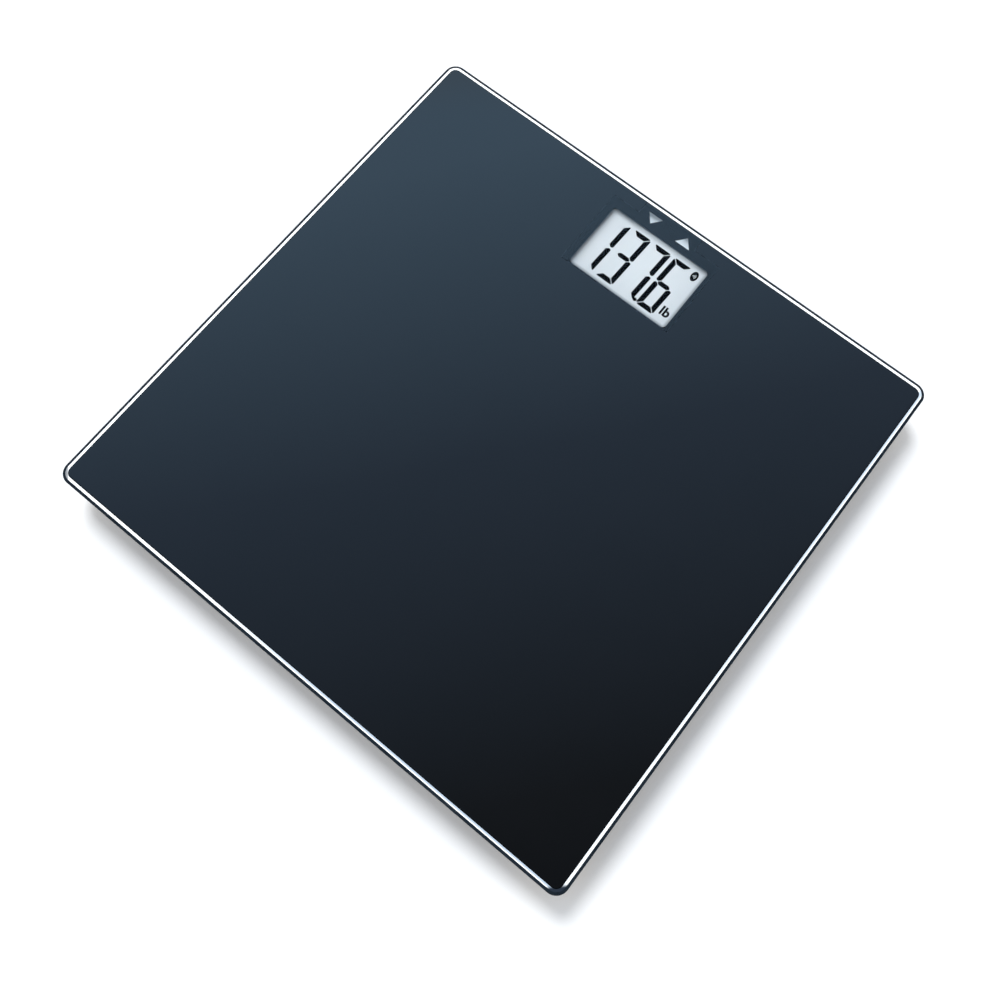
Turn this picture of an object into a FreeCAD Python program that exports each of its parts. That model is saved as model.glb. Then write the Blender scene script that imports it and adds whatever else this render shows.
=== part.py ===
import FreeCAD, Part
import math
import os
import Sketcher
from FreeCAD import Placement, Rotation, Vector

# A digital bathroom scale: a bevelled safety-glass platform on four load-cell feet, with the display,
# circuit board, keys and batteries in one shallow housing under the rear edge of the glass.
# Millimetres. X runs along the digits, Y from the user to the display and Z up. The origin is the
# centre of the footprint, on the floor.

sizes = {
    # the glass platform
    "plate_width": 305,
    "plate_depth": 300,
    "plate_thickness": 8,
    "plate_corner": 6.5,
    "bevel_width": 3.2,
    "bevel_drop": 0.37,
    "edge_round": 0.6,
    "lower_arris": 0.8,
    # the printed back, its window and the two key marks
    "print_thickness": 0.15,
    "print_margin": 1,
    "display_offset": -1.3,
    "window_setback": 13.4,
    "window_width": 61,
    "window_depth": 40,
    "window_corner": 2.4,
    "mark_spacing": 20.6,
    "mark_setback": 6.75,
    "mark_base": 8.8,
    "mark_height": 5.4,
    # the display stack
    "gasket_thickness": 0.6,
    "gasket_lap": 0.8,
    "polariser_thickness": 0.2,
    "polariser_inset": 0.5,
    "lcd_border": 2.5,
    "lcd_glass": 1.1,
    "lcd_ledge": 3,
    "lcd_gap": 0.2,
    "holder_wall": 2.2,
    "holder_shelf": 4,
    "zebra_width": 2,
    "zebra_end_gap": 0.3,
    # the circuit board and what is soldered to it
    "pcb_thickness": 1.6,
    "pcb_drop": 2.7,
    "pcb_margin_left": 2.1,
    "pcb_wing": 38.6,
    "pcb_bay_gap": 0.3,
    "pcb_boss_gap": 3.8,
    "pcb_front_strip": 9,
    "pcb_wall_gap": 3,
    "pcb_corner": 1.5,
    "pcb_hole_inset": 3,
    "pcb_post_radius": 2.4,
    "pcb_post_gap": 1,
    "chip_radius": 7,
    "chip_height": 1.5,
    "chip_shift": 6,
    "chip_back": 4,
    "resistor_length": 2,
    "resistor_width": 1.25,
    "resistor_height": 0.6,
    "resistor_pitch": 4,
    "resistor_row": 5,
    "resistor_shift": 20,
    "resistor_back": 13,
    "capacitor_length": 3.2,
    "capacitor_width": 2.5,
    "capacitor_height": 1.4,
    "capacitor_pitch": 6,
    "capacitor_shift": 10,
    "capacitor_back": 10,
    "crystal_radius": 1.5,
    "crystal_length": 8,
    "crystal_shift": 21,
    "crystal_front": 4,
    "module_width": 14,
    "module_depth": 19,
    "module_thickness": 0.8,
    "module_shift": 2,
    "can_side": 11,
    "can_inset": 1,
    "can_height": 1.8,
    "switch_side": 6,
    "switch_depth": 4.2,
    "switch_height": 4.4,
    "switch_setback": 0.2,
    "unit_switch_height": 3.3,
    "plunger_radius": 1.6,
    "plunger_gap": 0.1,
    "plunger_out": 0.9,
    "plunger_in": 0.6,
    # the housing that is taped under the glass
    "housing_setback": 3.5,
    "housing_corner": 6,
    "housing_wall": 1.6,
    "flange_thickness": 1.2,
    "frame_height": 3.4,
    "opening_gap": 0.3,
    "tape_thickness": 0.5,
    "tape_inset": 0.4,
    "ground_clearance": 2,
    "floor_thickness": 1.4,
    "bottom_round": 1.2,
    # the screws
    "boss_radius": 3.2,
    "boss_inset": 5,
    "boss_gap": 0.2,
    "head_radius": 2.1,
    "head_height": 1.6,
    "head_depth": 5,
    "head_gap": 0.25,
    "screw_radius": 1.2,
    "screw_reach": 2.8,
    "screw_gap": 0.05,
    "pcb_screw_radius": 1,
    "pcb_head_radius": 1.9,
    "pcb_head_height": 1.3,
    "pcb_screw_reach": 2.6,
    "cross_share": 1.3,
    "cross_width": 0.6,
    "cross_depth": 0.7,
    # the batteries and their bay
    "cell_diameter": 10.5,
    "cell_length": 44.5,
    "cell_apart": 0.5,
    "cell_gap": 0.3,
    "nub_radius": 1.9,
    "nub_length": 0.8,
    "spring_space": 3.7,
    "spring_radius": 2.8,
    "spring_wire": 0.25,
    "spring_turns": 3,
    "contact_thickness": 0.4,
    "contact_side": 9,
    "bay_side_gap": 1.2,
    "bay_wall": 1.2,
    "bay_roof": 1,
    "bay_roof_gap": 0.35,
    "bay_front_gap": 1.7,
    "bay_rear_gap": 0.3,
    # the battery door
    "door_gap": 0.2,
    "hinge_sweep": 2.75,
    "hinge_height": 1.9,
    "hinge_radius": 1.5,
    "hinge_pin_radius": 0.9,
    "hinge_pin_length": 1.2,
    "hinge_pin_gap": 0.06,
    "hinge_back_gap": 0.4,
    "latch_zone": 2.5,
    "latch_wall": 1,
    "latch_width": 12,
    "latch_height": 3.6,
    "latch_inset": 0.8,
    "grip_count": 4,
    "grip_start": 5,
    "grip_pitch": 1.6,
    "grip_width": 0.8,
    "grip_depth": 0.4,
    "thumb_radius": 7,
    "thumb_reach": 3,
    "thumb_depth": 0.8,
    # the keys
    "key_travel": 0.5,
    "key_play": 0.05,
    "key_width": 12,
    "key_height": 4,
    "key_gap": 0.3,
    "key_proud": 1.3,
    "key_flange": 1,
    "key_lap": 0.7,
    "key_round": 0.5,
    "unit_key_radius": 3.6,
    "unit_key_sunk": 0.3,
    "unit_key_offset": 52,
    "unit_key_setback": 30,
    # the feet
    "foot_side_gap": 2.5,
    "foot_end_gap": 5,
    "foot_flange": 1,
    "foot_draft": 0.4,
    "foot_room_gap": 0.96,
    "foot_wall": 1.6,
    "foot_roof": 1.4,
    "foot_skirt": 4.5,
    "foot_lip": 1.5,
    "foot_tape_inset": 0.5,
    "cup_gap": 0.6,
    "cup_side_gap": 0.8,
    "cup_wall": 1.6,
    "cup_floor": 1.8,
    "cup_flange_reach": 2.2,
    "cup_flange": 1.2,
    "cup_play": 0.2,
    "button_radius": 5,
    "button_root": 7,
    "foot_travel": 0.5,
    "foot_play": 0.1,
    "pad_thickness": 2.4,
    "pad_inset": 1,
    "pad_edge": 1,
    "groove_radius": 13,
    "groove_width": 1.6,
    "groove_depth": 0.7,
    # the load cells
    "plate_side": 34,
    "plate_round": 3,
    "plate_steel": 2.5,
    "post_height": 1.6,
    "post_radius": 2,
    "post_inset": 3.5,
    "tongue_width": 14,
    "tongue_reach": 6.5,
    "slot_width": 2.4,
    "slot_length": 20,
    "rib_length": 14,
    "rib_thickness": 1.4,
    "rib_gap": 0.2,
    "hook_height": 0.7,
    "hook_reach": 1,
    "hook_gap": 0.1,
    "gauge_width": 9,
    "gauge_length": 6,
    "gauge_height": 0.9,
    "gauge_offset": 10,
    # the load-cell leads and the ducts that carry them
    "wire_radius": 0.5,
    "wire_pitch": 1.2,
    "wire_gap": 0.3,
    "lead_rise": 0.8,
    "lead_bend": 3,
    "lead_dip_bend": 4,
    "lead_entry": 26,
    "lead_board_inset": 2,
    "lead_end_gap": 0.6,
    "branch_gap": 7.35,
    "duct_inner": 8,
    "duct_wall": 1,
    "duct_gap": 0.3,
    "duct_apart": 1,
    # the rating label
    "label_width": 34,
    "label_depth": 20,
    "label_thickness": 0.1,
    "label_offset": 12,
    "label_setback": 36,
}

# Heights and places that follow from the sizes, from the floor up through the battery bay to the glass.
derived = {
    "floor_top": "dims.ground_clearance + dims.floor_thickness",
    "cell_axis": "at.floor_top + dims.cell_gap + dims.cell_diameter / 2",
    "bay_ceiling": "at.cell_axis + dims.cell_diameter / 2 + dims.cell_gap",
    "bay_top": "at.bay_ceiling + dims.bay_roof",
    "print_bottom": "at.bay_top + dims.bay_roof_gap",
    "glass_bottom": "at.print_bottom + dims.print_thickness",
    "tape_bottom": "at.print_bottom - dims.tape_thickness",
    "flange_bottom": "at.tape_bottom - dims.flange_thickness",
    "split": "at.tape_bottom - dims.frame_height",
    "lcd_top": "at.print_bottom - dims.gasket_thickness",
    "lcd_cell_top": "at.lcd_top - dims.polariser_thickness",
    "lcd_ledge_under": "at.lcd_cell_top - dims.lcd_glass",
    "lcd_cell_bottom": "at.lcd_ledge_under - dims.lcd_glass",
    "shelf_top": "at.lcd_cell_bottom - dims.polariser_thickness",
    "pcb_top": "at.lcd_cell_bottom - dims.pcb_drop",
    "pcb_bottom": "at.pcb_top - dims.pcb_thickness",
    "roof_under": "at.tape_bottom - dims.foot_roof",
    "plate_top": "at.roof_under - dims.post_height",
    "plate_bottom": "at.plate_top - dims.plate_steel",
    "button_top": "at.plate_bottom - dims.foot_travel - dims.foot_play",
    "cup_flange_bottom": "dims.foot_skirt + dims.foot_lip + dims.cup_play",
    "foot_room": "dims.plate_side / sqrt(2) + dims.foot_room_gap",
    "cup_flange_radius": "at.foot_room - dims.cup_side_gap",
    "cup_radius": "at.cup_flange_radius - dims.cup_flange_reach",
    "foot_mouth": "at.cup_radius + dims.cup_gap",
    "foot_lip_radius": "at.foot_room + dims.foot_wall",
    "foot_wall_radius": "at.foot_lip_radius + dims.foot_draft",
    "foot_flange_radius": "at.foot_wall_radius + dims.foot_flange",
    "lead_level": "at.plate_top + dims.lead_rise",
    "lead_bed": "at.lead_level - dims.wire_radius",
    "rear_edge": "dims.plate_depth / 2",
    "lcd_width": "dims.window_width + 2 * dims.lcd_border",
    "lcd_depth": "dims.window_depth + 2 * dims.lcd_border",
    "display_x": "dims.display_offset",
    "display_y": "at.rear_edge - dims.window_setback - dims.window_depth / 2",
    "mark_y": "at.rear_edge - dims.mark_setback",
    "holder_side": "dims.lcd_gap + dims.holder_wall",
    "holder_left": "at.display_x - at.lcd_width / 2 - at.holder_side",
    "holder_right": "at.display_x + at.lcd_width / 2 + at.holder_side",
    "holder_front": "at.display_y - at.lcd_depth / 2 - at.holder_side",
    "housing_rear": "at.rear_edge - dims.housing_setback",
    "housing_inside_rear": "at.housing_rear - dims.housing_wall",
    "pcb_left": "at.holder_left - dims.pcb_margin_left",
    "pcb_right": "at.holder_right + dims.pcb_wing",
    "pcb_front": "at.display_y - at.lcd_depth / 2 - dims.pcb_front_strip",
    "pcb_rear": "at.housing_inside_rear - dims.pcb_wall_gap",
    "cell_pitch": "dims.cell_diameter + dims.cell_apart",
    "bay_inside": "3 * at.cell_pitch + 2 * dims.bay_side_gap",
    "bay_right": "at.pcb_left - dims.pcb_bay_gap - dims.bay_wall",
    "bay_x": "at.bay_right - at.bay_inside / 2",
    "bay_rear": "at.housing_inside_rear - dims.bay_rear_gap - dims.bay_wall",
    "contact_room": "dims.cell_length + dims.spring_space + 2 * dims.contact_thickness",
    "contact_rear": "at.bay_rear - dims.latch_zone - dims.bay_wall",
    "contact_front": "at.contact_rear - at.contact_room",
    "hinge_y": "at.contact_front - dims.bay_wall - dims.hinge_back_gap - dims.hinge_radius",
    "hinge_z": "dims.ground_clearance + dims.hinge_height",
    "bay_front": "at.hinge_y - dims.hinge_sweep",
    "bay_front_outer": "at.bay_front - dims.bay_wall - dims.bay_front_gap",
    "board_front_outer": "at.pcb_front - dims.pcb_wall_gap",
    "housing_front": "min(at.bay_front_outer; at.board_front_outer) - dims.housing_wall",
    "boss_room": "dims.boss_inset + dims.boss_radius",
    "housing_left": "at.bay_x - at.bay_inside / 2 - dims.bay_wall - dims.boss_gap - at.boss_room",
    "housing_right": "at.pcb_right + dims.pcb_boss_gap + at.boss_room",
    "housing_x": "(at.housing_left + at.housing_right) / 2",
    "housing_y": "(at.housing_front + at.housing_rear) / 2",
    "housing_width": "at.housing_right - at.housing_left",
    "housing_depth": "at.housing_rear - at.housing_front",
    "boss_x": "at.housing_width / 2 - dims.boss_inset",
    "boss_y": "at.housing_depth / 2 - dims.boss_inset",
    "switch_face": "at.pcb_rear - dims.switch_setback",
    "plunger_tip": "at.switch_face + dims.plunger_out",
    "key_z": "at.pcb_bottom - dims.switch_height / 2",
    "key_flange_rear": "at.housing_inside_rear - dims.key_play",
    "key_flange_front": "at.key_flange_rear - dims.key_flange",
    "unit_key_x": "at.display_x + dims.unit_key_offset",
    "unit_key_y": "at.housing_rear - dims.unit_key_setback",
    "unit_flange_bottom": "at.floor_top + dims.key_play",
    "unit_switch_bottom": "at.pcb_bottom - dims.unit_switch_height",
    "foot_x": "dims.plate_width / 2 - dims.foot_side_gap - at.foot_flange_radius",
    "foot_y": "dims.plate_depth / 2 - dims.foot_end_gap - at.foot_flange_radius",
    "duct_outer": "dims.duct_inner + 2 * dims.duct_wall",
    "duct_pitch": "at.duct_outer + dims.duct_apart",
    "branch_y": "at.housing_front - dims.branch_gap - at.duct_outer / 2",
    "lead_width": "2 * (dims.wire_pitch + dims.wire_radius + dims.wire_gap)",
}

doc = FreeCAD.newDocument("bathroom_scale")
dims = doc.addObject("Spreadsheet::Sheet", "dims")
for row, (alias, size) in enumerate(sizes.items(), start=1):
    dims.set(f"A{row}", alias)
    dims.set(f"B{row}", str(size))
    dims.setAlias(f"B{row}", alias)
doc.recompute()

at = doc.addObject("App::VarSet", "at")
at.addProperty("App::PropertyFloat", "probe")
for name, expression in derived.items():
    at.addProperty("App::PropertyFloat", name)
    at.setExpression(name, expression)
doc.recompute()

nodes = []


def value(expression):
    # the number that an expression over the sheet and the derived places comes to
    at.setExpression("probe", expression)
    at.recompute()
    return at.probe


def bind(item, **expressions):
    for key, expression in expressions.items():
        item.setExpression(key, expression)


def place(item, x="0", y="0", z="0", turn="0"):
    item.setExpression("Placement.Base.x", x)
    item.setExpression("Placement.Base.y", y)
    item.setExpression("Placement.Base.z", z)
    if turn != "0":
        item.setExpression("Placement.Rotation.Angle", turn)


def node(item, name):
    item.Label = name
    nodes.append(item)
    return item


# ---- sketches and features of a body

def new_body(x="0", y="0", z="0", turn="0"):
    body = doc.addObject("PartDesign::Body", "body")
    place(body, x, y, z, turn)
    return body


def sketch_on(body, height="0", plane="XY_Plane"):
    sketch = body.newObject("Sketcher::SketchObject", "sketch")
    support = next(feature for feature in body.Origin.OriginFeatures if feature.Role == plane)
    sketch.AttachmentSupport = [(support, "")]
    sketch.MapMode = "FlatFace"
    sketch.setExpression("AttachmentOffset.Base.z", height)
    return sketch


def pin_point(sketch, element, point, x, y):
    # holds one point of the sketch at the place that two expressions give
    for kind, expression in (("DistanceX", x), ("DistanceY", y)):
        index = sketch.addConstraint(
            Sketcher.Constraint(kind, -1, 1, element, point, value(expression)))
        sketch.setExpression(f"Constraints[{index}]", expression)


def outline(sketch, corners):
    # a closed outline of straight lines through corners that are pairs of expressions
    points = [Vector(value(x), value(y), 0) for x, y in corners]
    first = sketch.GeometryCount
    for start, end in zip(points, points[1:] + points[:1]):
        sketch.addGeometry(Part.LineSegment(start, end))
    for step, (x, y) in enumerate(corners):
        follower = first + (step + 1) % len(corners)
        sketch.addConstraint(Sketcher.Constraint("Coincident", first + step, 2, follower, 1))
        pin_point(sketch, first + step, 1, x, y)


def rectangle(sketch, x, y, width, depth):
    left, right = f"{x} - ({width}) / 2", f"{x} + ({width}) / 2"
    front, rear = f"{y} - ({depth}) / 2", f"{y} + ({depth}) / 2"
    outline(sketch, ((left, front), (right, front), (right, rear), (left, rear)))


def circle(sketch, x, y, radius):
    index = sketch.addGeometry(Part.Circle(Vector(value(x), value(y), 0), Vector(0, 0, 1), value(radius)))
    pin_point(sketch, index, 3, x, y)
    held = sketch.addConstraint(Sketcher.Constraint("Radius", index, value(radius)))
    sketch.setExpression(f"Constraints[{held}]", radius)


def rounded_rectangle(sketch, x, y, width, depth, radius):
    centre_x, centre_y, corner = value(x), value(y), value(radius)
    half_x, half_y = value(width) / 2 - corner, value(depth) / 2 - corner
    quarter = math.pi / 2
    first = sketch.GeometryCount
    for turn in range(4):
        # each side runs to its corner's arc: bottom, right, top, left
        along = Vector(round(math.cos(turn * quarter)), round(math.sin(turn * quarter)), 0)
        out = Vector(along.y, -along.x, 0)
        reach = abs(along.x) * half_x + abs(along.y) * half_y
        depth_out = abs(out.x) * half_x + abs(out.y) * half_y + corner
        middle = Vector(centre_x, centre_y, 0) + out * depth_out
        sketch.addGeometry(Part.LineSegment(middle - along * reach, middle + along * reach))
        arc_centre = middle + along * reach - out * corner
        arc = Part.Circle(arc_centre, Vector(0, 0, 1), corner)
        sketch.addGeometry(Part.ArcOfCircle(arc, (turn - 1) * quarter, turn * quarter))
    for turn in range(4):
        line, arc, following = first + 2 * turn, first + 2 * turn + 1, first + (2 * turn + 2) % 8
        sketch.addConstraint(Sketcher.Constraint("Tangent", line, 2, arc, 1))
        sketch.addConstraint(Sketcher.Constraint("Tangent", arc, 2, following, 1))
        sketch.addConstraint(Sketcher.Constraint("Vertical" if turn % 2 else "Horizontal", line))
        if turn:
            sketch.addConstraint(Sketcher.Constraint("Equal", first + 1, arc))
    centre = sketch.addGeometry(Part.Point(Vector(centre_x, centre_y, 0)), True)
    pin_point(sketch, centre, 1, x, y)
    sketch.addConstraint(Sketcher.Constraint("Symmetric", first, 1, first + 4, 1, centre, 1))
    for kind, ends, expression in (
            ("DistanceX", (first + 6, 1, first + 2, 1), width),
            ("DistanceY", (first, 1, first + 4, 1), depth),
            ("Radius", (first + 1,), radius)):
        held = sketch.addConstraint(Sketcher.Constraint(kind, *ends, value(expression)))
        sketch.setExpression(f"Constraints[{held}]", expression)


def pad(body, sketch, length, reversed_=False):
    feature = body.newObject("PartDesign::Pad", "pad")
    feature.Profile = sketch
    feature.Reversed = reversed_
    bind(feature, Length=length)
    return feature


def pocket(body, sketch, length=None, upwards=False):
    # cuts down from the sketch, or up from it, through everything where no length is given
    feature = body.newObject("PartDesign::Pocket", "pocket")
    feature.Profile = sketch
    feature.Reversed = upwards
    if length is None:
        feature.Type = "ThroughAll"
    else:
        bind(feature, Length=length)
    return feature


def revolve(body, corners):
    # a closed half section in the XZ plane, turned about Z
    sketch = sketch_on(body, plane="XZ_Plane")
    outline(sketch, corners)
    feature = body.newObject("PartDesign::Revolution", "turned")
    feature.Profile = sketch
    feature.ReferenceAxis = (sketch, ["V_Axis"])
    feature.Angle = 360
    return feature


def soften(body, kind, size, wanted, **options):
    # a fillet or chamfer on the edges of the body's last feature that the test picks out
    doc.recompute()
    base = body.Tip
    picked = [f"Edge{number}" for number, edge in enumerate(base.Shape.Edges, start=1) if wanted(edge)]
    feature = body.newObject(f"PartDesign::{kind}", kind.lower())
    feature.Base = (base, picked)
    for key, option in options.items():
        setattr(feature, key, option)
    bind(feature, **{"Radius" if kind == "Fillet" else "Size": size})
    return feature


def flat_at(height):
    # picks the edges that lie level at a height of the body's own frame
    def wanted(edge):
        box = edge.BoundBox
        return abs(box.ZMin - height) < 1e-4 and abs(box.ZMax - height) < 1e-4
    return wanted


# ---- primitives and booleans

def box(x, y, z, width, depth, height):
    # x and y are the middle of the box, z is its underside
    block = doc.addObject("Part::Box", "box")
    bind(block, Length=width, Width=depth, Height=height)
    place(block, f"{x} - ({width}) / 2", f"{y} - ({depth}) / 2", z)
    return block


def rod(x, y, z, radius, length, axis="z"):
    # a cylinder from a point along the axis that is named
    cylinder = doc.addObject("Part::Cylinder", "rod")
    bind(cylinder, Radius=radius, Height=length)
    if axis == "x":
        cylinder.Placement.Rotation = Rotation(Vector(0, 1, 0), 90)
    if axis == "y":
        cylinder.Placement.Rotation = Rotation(Vector(1, 0, 0), -90)
    place(cylinder, x, y, z)
    return cylinder


def cut(base, *tools):
    result = base
    for tool in tools:
        step = doc.addObject("Part::Cut", "cut")
        step.Base = result
        step.Tool = tool
        result = step
    return result


def fuse(*shapes):
    joined = doc.addObject("Part::MultiFuse", "fused")
    joined.Shapes = list(shapes)
    joined.Refine = True
    return joined


def group(*shapes):
    together = doc.addObject("Part::Compound", "group")
    together.Links = list(shapes)
    return together


# ---- the glass platform and its printed back

def glass_platform():
    body = new_body(z="at.glass_bottom")
    base = sketch_on(body)
    rounded_rectangle(base, "0", "0", "dims.plate_width", "dims.plate_depth", "dims.plate_corner")
    pad(body, base, "dims.plate_thickness")
    thickness, drop = value("dims.plate_thickness"), value("dims.bevel_drop")
    bevel = soften(body, "Chamfer", "dims.bevel_drop", flat_at(thickness), ChamferType="Two distances")
    bind(bevel, Size2="dims.bevel_width")
    soften(body, "Fillet", "dims.edge_round", flat_at(thickness - drop))
    soften(body, "Chamfer", "dims.lower_arris", flat_at(0))
    node(body, "glass_platform")


def mark_corners(side):
    # a triangle that points to the user on the left and away from the user on the right
    x = f"at.display_x + {side} * dims.mark_spacing / 2"
    tip = f"at.mark_y + {side} * dims.mark_height / 2"
    base = f"at.mark_y - {side} * dims.mark_height / 2"
    return ((f"{x} - dims.mark_base / 2", base), (f"{x} + dims.mark_base / 2", base), (x, tip))


def back_print():
    body = new_body(z="at.print_bottom")
    base = sketch_on(body)
    rounded_rectangle(
        base, "0", "0", "dims.plate_width - 2 * dims.print_margin",
        "dims.plate_depth - 2 * dims.print_margin", "dims.plate_corner - dims.print_margin")
    pad(body, base, "dims.print_thickness")
    openings = sketch_on(body)
    rounded_rectangle(
        openings, "at.display_x", "at.display_y", "dims.window_width", "dims.window_depth",
        "dims.window_corner")
    for side in (-1, 1):
        outline(openings, mark_corners(side))
    pocket(body, openings, upwards=True)
    node(body, "back_print")


def key_marks():
    marks = []
    for side in (-1, 1):
        mark = new_body(z="at.print_bottom")
        face = sketch_on(mark)
        outline(face, mark_corners(side))
        pad(mark, face, "dims.print_thickness")
        marks.append(mark)
    node(group(*marks), "key_marks")


# ---- the display stack, from the glass down to the board

def display_block(z, height, shorter="0", inset="0"):
    # a layer as wide as the display, shorter at the ledge and inset all round where asked
    return box(
        "at.display_x", f"at.display_y + ({shorter}) / 2", z, f"at.lcd_width - 2 * ({inset})",
        f"at.lcd_depth - ({shorter}) - 2 * ({inset})", height)


def display_stack():
    inset = "dims.polariser_inset"
    opening = box(
        "at.display_x", "at.display_y", "at.lcd_top", "dims.window_width + 2 * dims.gasket_lap",
        "dims.window_depth + 2 * dims.gasket_lap", "dims.gasket_thickness")
    node(cut(display_block("at.lcd_top", "dims.gasket_thickness", inset=inset), opening), "lcd_gasket")
    node(display_block("at.lcd_cell_top", "dims.polariser_thickness", inset=inset), "lcd_polariser")
    front_glass = display_block("at.lcd_ledge_under", "dims.lcd_glass")
    rear_glass = display_block("at.lcd_cell_bottom", "dims.lcd_glass", shorter="dims.lcd_ledge")
    node(fuse(front_glass, rear_glass), "lcd_panel")
    node(
        display_block("at.shelf_top", "dims.polariser_thickness", shorter="dims.lcd_ledge"),
        "lcd_reflector")
    node(
        box(
            "at.display_x", "at.display_y - (at.lcd_depth - dims.lcd_ledge) / 2", "at.pcb_top",
            "at.lcd_width - 2 * (dims.holder_shelf + dims.zebra_end_gap)", "dims.zebra_width",
            "at.lcd_ledge_under - at.pcb_top"),
        "zebra_strip")


def lcd_holder():
    # a frame with a pocket for the display and a shelf under its sides and rear edge
    body = new_body("at.display_x", "at.display_y", "at.pcb_top")
    base = sketch_on(body)
    rounded_rectangle(
        base, "0", "0", "at.lcd_width + 2 * at.holder_side", "at.lcd_depth + 2 * at.holder_side",
        "dims.holder_wall")
    pad(body, base, "at.lcd_cell_top - at.pcb_top")
    seat = sketch_on(body, "at.lcd_cell_top - at.pcb_top")
    rectangle(
        seat, "0", "0", "at.lcd_width + 2 * dims.lcd_gap", "at.lcd_depth + 2 * dims.lcd_gap")
    pocket(body, seat, "at.lcd_cell_top - at.shelf_top")
    well = sketch_on(body)
    rectangle(
        well, "0", "-dims.holder_shelf / 2 + dims.lcd_gap",
        "at.lcd_width - 2 * dims.holder_shelf", "at.lcd_depth - dims.holder_shelf")
    pocket(body, well, upwards=True)
    node(body, "lcd_holder")


# ---- the circuit board

def pcb_holes():
    front = "at.pcb_front + dims.pcb_hole_inset"
    rear = "at.pcb_rear - dims.pcb_hole_inset"
    right = "at.pcb_right - dims.pcb_hole_inset"
    beside_display = "at.holder_right + dims.pcb_post_radius + dims.opening_gap + dims.pcb_post_gap"
    return (
        ("at.pcb_left + dims.pcb_hole_inset", front), (right, front), (right, rear), (beside_display, rear))


def main_pcb():
    body = new_body(z="at.pcb_bottom")
    base = sketch_on(body)
    rounded_rectangle(
        base, "(at.pcb_left + at.pcb_right) / 2", "(at.pcb_front + at.pcb_rear) / 2",
        "at.pcb_right - at.pcb_left", "at.pcb_rear - at.pcb_front", "dims.pcb_corner")
    for x, y in pcb_holes():
        circle(base, x, y, "dims.pcb_screw_radius + dims.screw_gap")
    pad(body, base, "dims.pcb_thickness")
    node(body, "main_pcb")


def board_parts():
    chip_z = "at.pcb_bottom - dims.chip_height"
    node(
        rod(
            "at.display_x + dims.chip_shift", "at.display_y - dims.chip_back", chip_z,
            "dims.chip_radius", "dims.chip_height"),
        "controller_chip")
    module_x = "(at.holder_right + at.pcb_right) / 2 + dims.module_shift"
    module_y = "at.pcb_rear - dims.module_depth"
    board = box(
        module_x, module_y, "at.pcb_top", "dims.module_width", "dims.module_depth",
        "dims.module_thickness")
    can = box(
        module_x, f"{module_y} - (dims.module_depth - dims.can_side) / 2 + dims.can_inset",
        "at.pcb_top + dims.module_thickness", "dims.can_side", "dims.can_side", "dims.can_height")
    node(fuse(board, can), "radio_module")
    # two rows of resistors, a column of capacitors and a crystal can, all under the board
    small = []
    for step in range(5):
        for row in range(2):
            small.append(box(
                f"at.display_x + dims.resistor_shift + {step} * dims.resistor_pitch",
                f"at.display_y - dims.resistor_back + {row} * dims.resistor_row",
                "at.pcb_bottom - dims.resistor_height", "dims.resistor_length",
                "dims.resistor_width", "dims.resistor_height"))
    for step in range(3):
        small.append(box(
            "at.display_x - dims.capacitor_shift",
            f"at.display_y - dims.capacitor_back + {step} * dims.capacitor_pitch",
            "at.pcb_bottom - dims.capacitor_height", "dims.capacitor_length",
            "dims.capacitor_width", "dims.capacitor_height"))
    small.append(rod(
        "at.display_x + dims.crystal_shift", "at.display_y + dims.crystal_front",
        "at.pcb_bottom - dims.crystal_radius", "dims.crystal_radius", "dims.crystal_length", axis="x"))
    node(group(*small), "smd_parts")


def key_x(side):
    return f"at.display_x + {side} * dims.mark_spacing / 2"


def key_switches():
    bore = "dims.plunger_radius + dims.plunger_gap"
    room = "dims.plunger_in + dims.key_travel + dims.plunger_gap"
    bodies = []
    for side in (-1, 1):
        block = box(
            key_x(side), "at.switch_face - dims.switch_depth / 2", "at.pcb_bottom - dims.switch_height",
            "dims.switch_side", "dims.switch_depth", "dims.switch_height")
        hole = rod(key_x(side), f"at.switch_face - ({room})", "at.key_z", bore, room, axis="y")
        bodies.append(cut(block, hole))
    block = box(
        "at.unit_key_x", "at.unit_key_y", "at.unit_switch_bottom", "dims.switch_side",
        "dims.switch_side", "at.pcb_bottom - at.unit_switch_bottom")
    hole = rod("at.unit_key_x", "at.unit_key_y", "at.unit_switch_bottom", bore, room)
    bodies.append(cut(block, hole))
    node(group(*bodies), "key_switches")


# ---- the housing under the glass

def housing_corners():
    for x in (-1, 1):
        for y in (-1, 1):
            yield f"{x} * at.boss_x", f"{y} * at.boss_y"


def lead_entries():
    # where the leads cross the housing's front wall, as offsets from the display's middle
    for side in (-1, 1):
        for rank in (0, 1):
            yield f"{side} * (dims.lead_entry - {rank} * at.duct_pitch)"


def bay_box(grow, z, height):
    # the room for the batteries and their door, grown by a wall or a clearance
    length = "at.bay_rear - at.bay_front"
    return box(
        "at.bay_x", "(at.bay_front + at.bay_rear) / 2", z, f"at.bay_inside + 2 * ({grow})",
        f"{length} + 2 * ({grow})", height)


def housing_adhesive():
    tape = new_body("at.housing_x", "at.housing_y", "at.tape_bottom")
    base = sketch_on(tape)
    rounded_rectangle(
        base, "0", "0", "at.housing_width - 2 * dims.tape_inset",
        "at.housing_depth - 2 * dims.tape_inset", "dims.housing_corner - dims.tape_inset")
    pad(tape, base, "dims.tape_thickness")
    display = box(
        "at.display_x", "at.display_y", "at.tape_bottom",
        "at.lcd_width + 2 * (at.holder_side + dims.opening_gap)",
        "at.lcd_depth + 2 * (at.holder_side + dims.opening_gap)", "dims.tape_thickness")
    batteries = bay_box("dims.bay_wall + dims.opening_gap", "at.tape_bottom", "dims.tape_thickness")
    node(cut(tape, display, batteries), "housing_adhesive")


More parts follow.
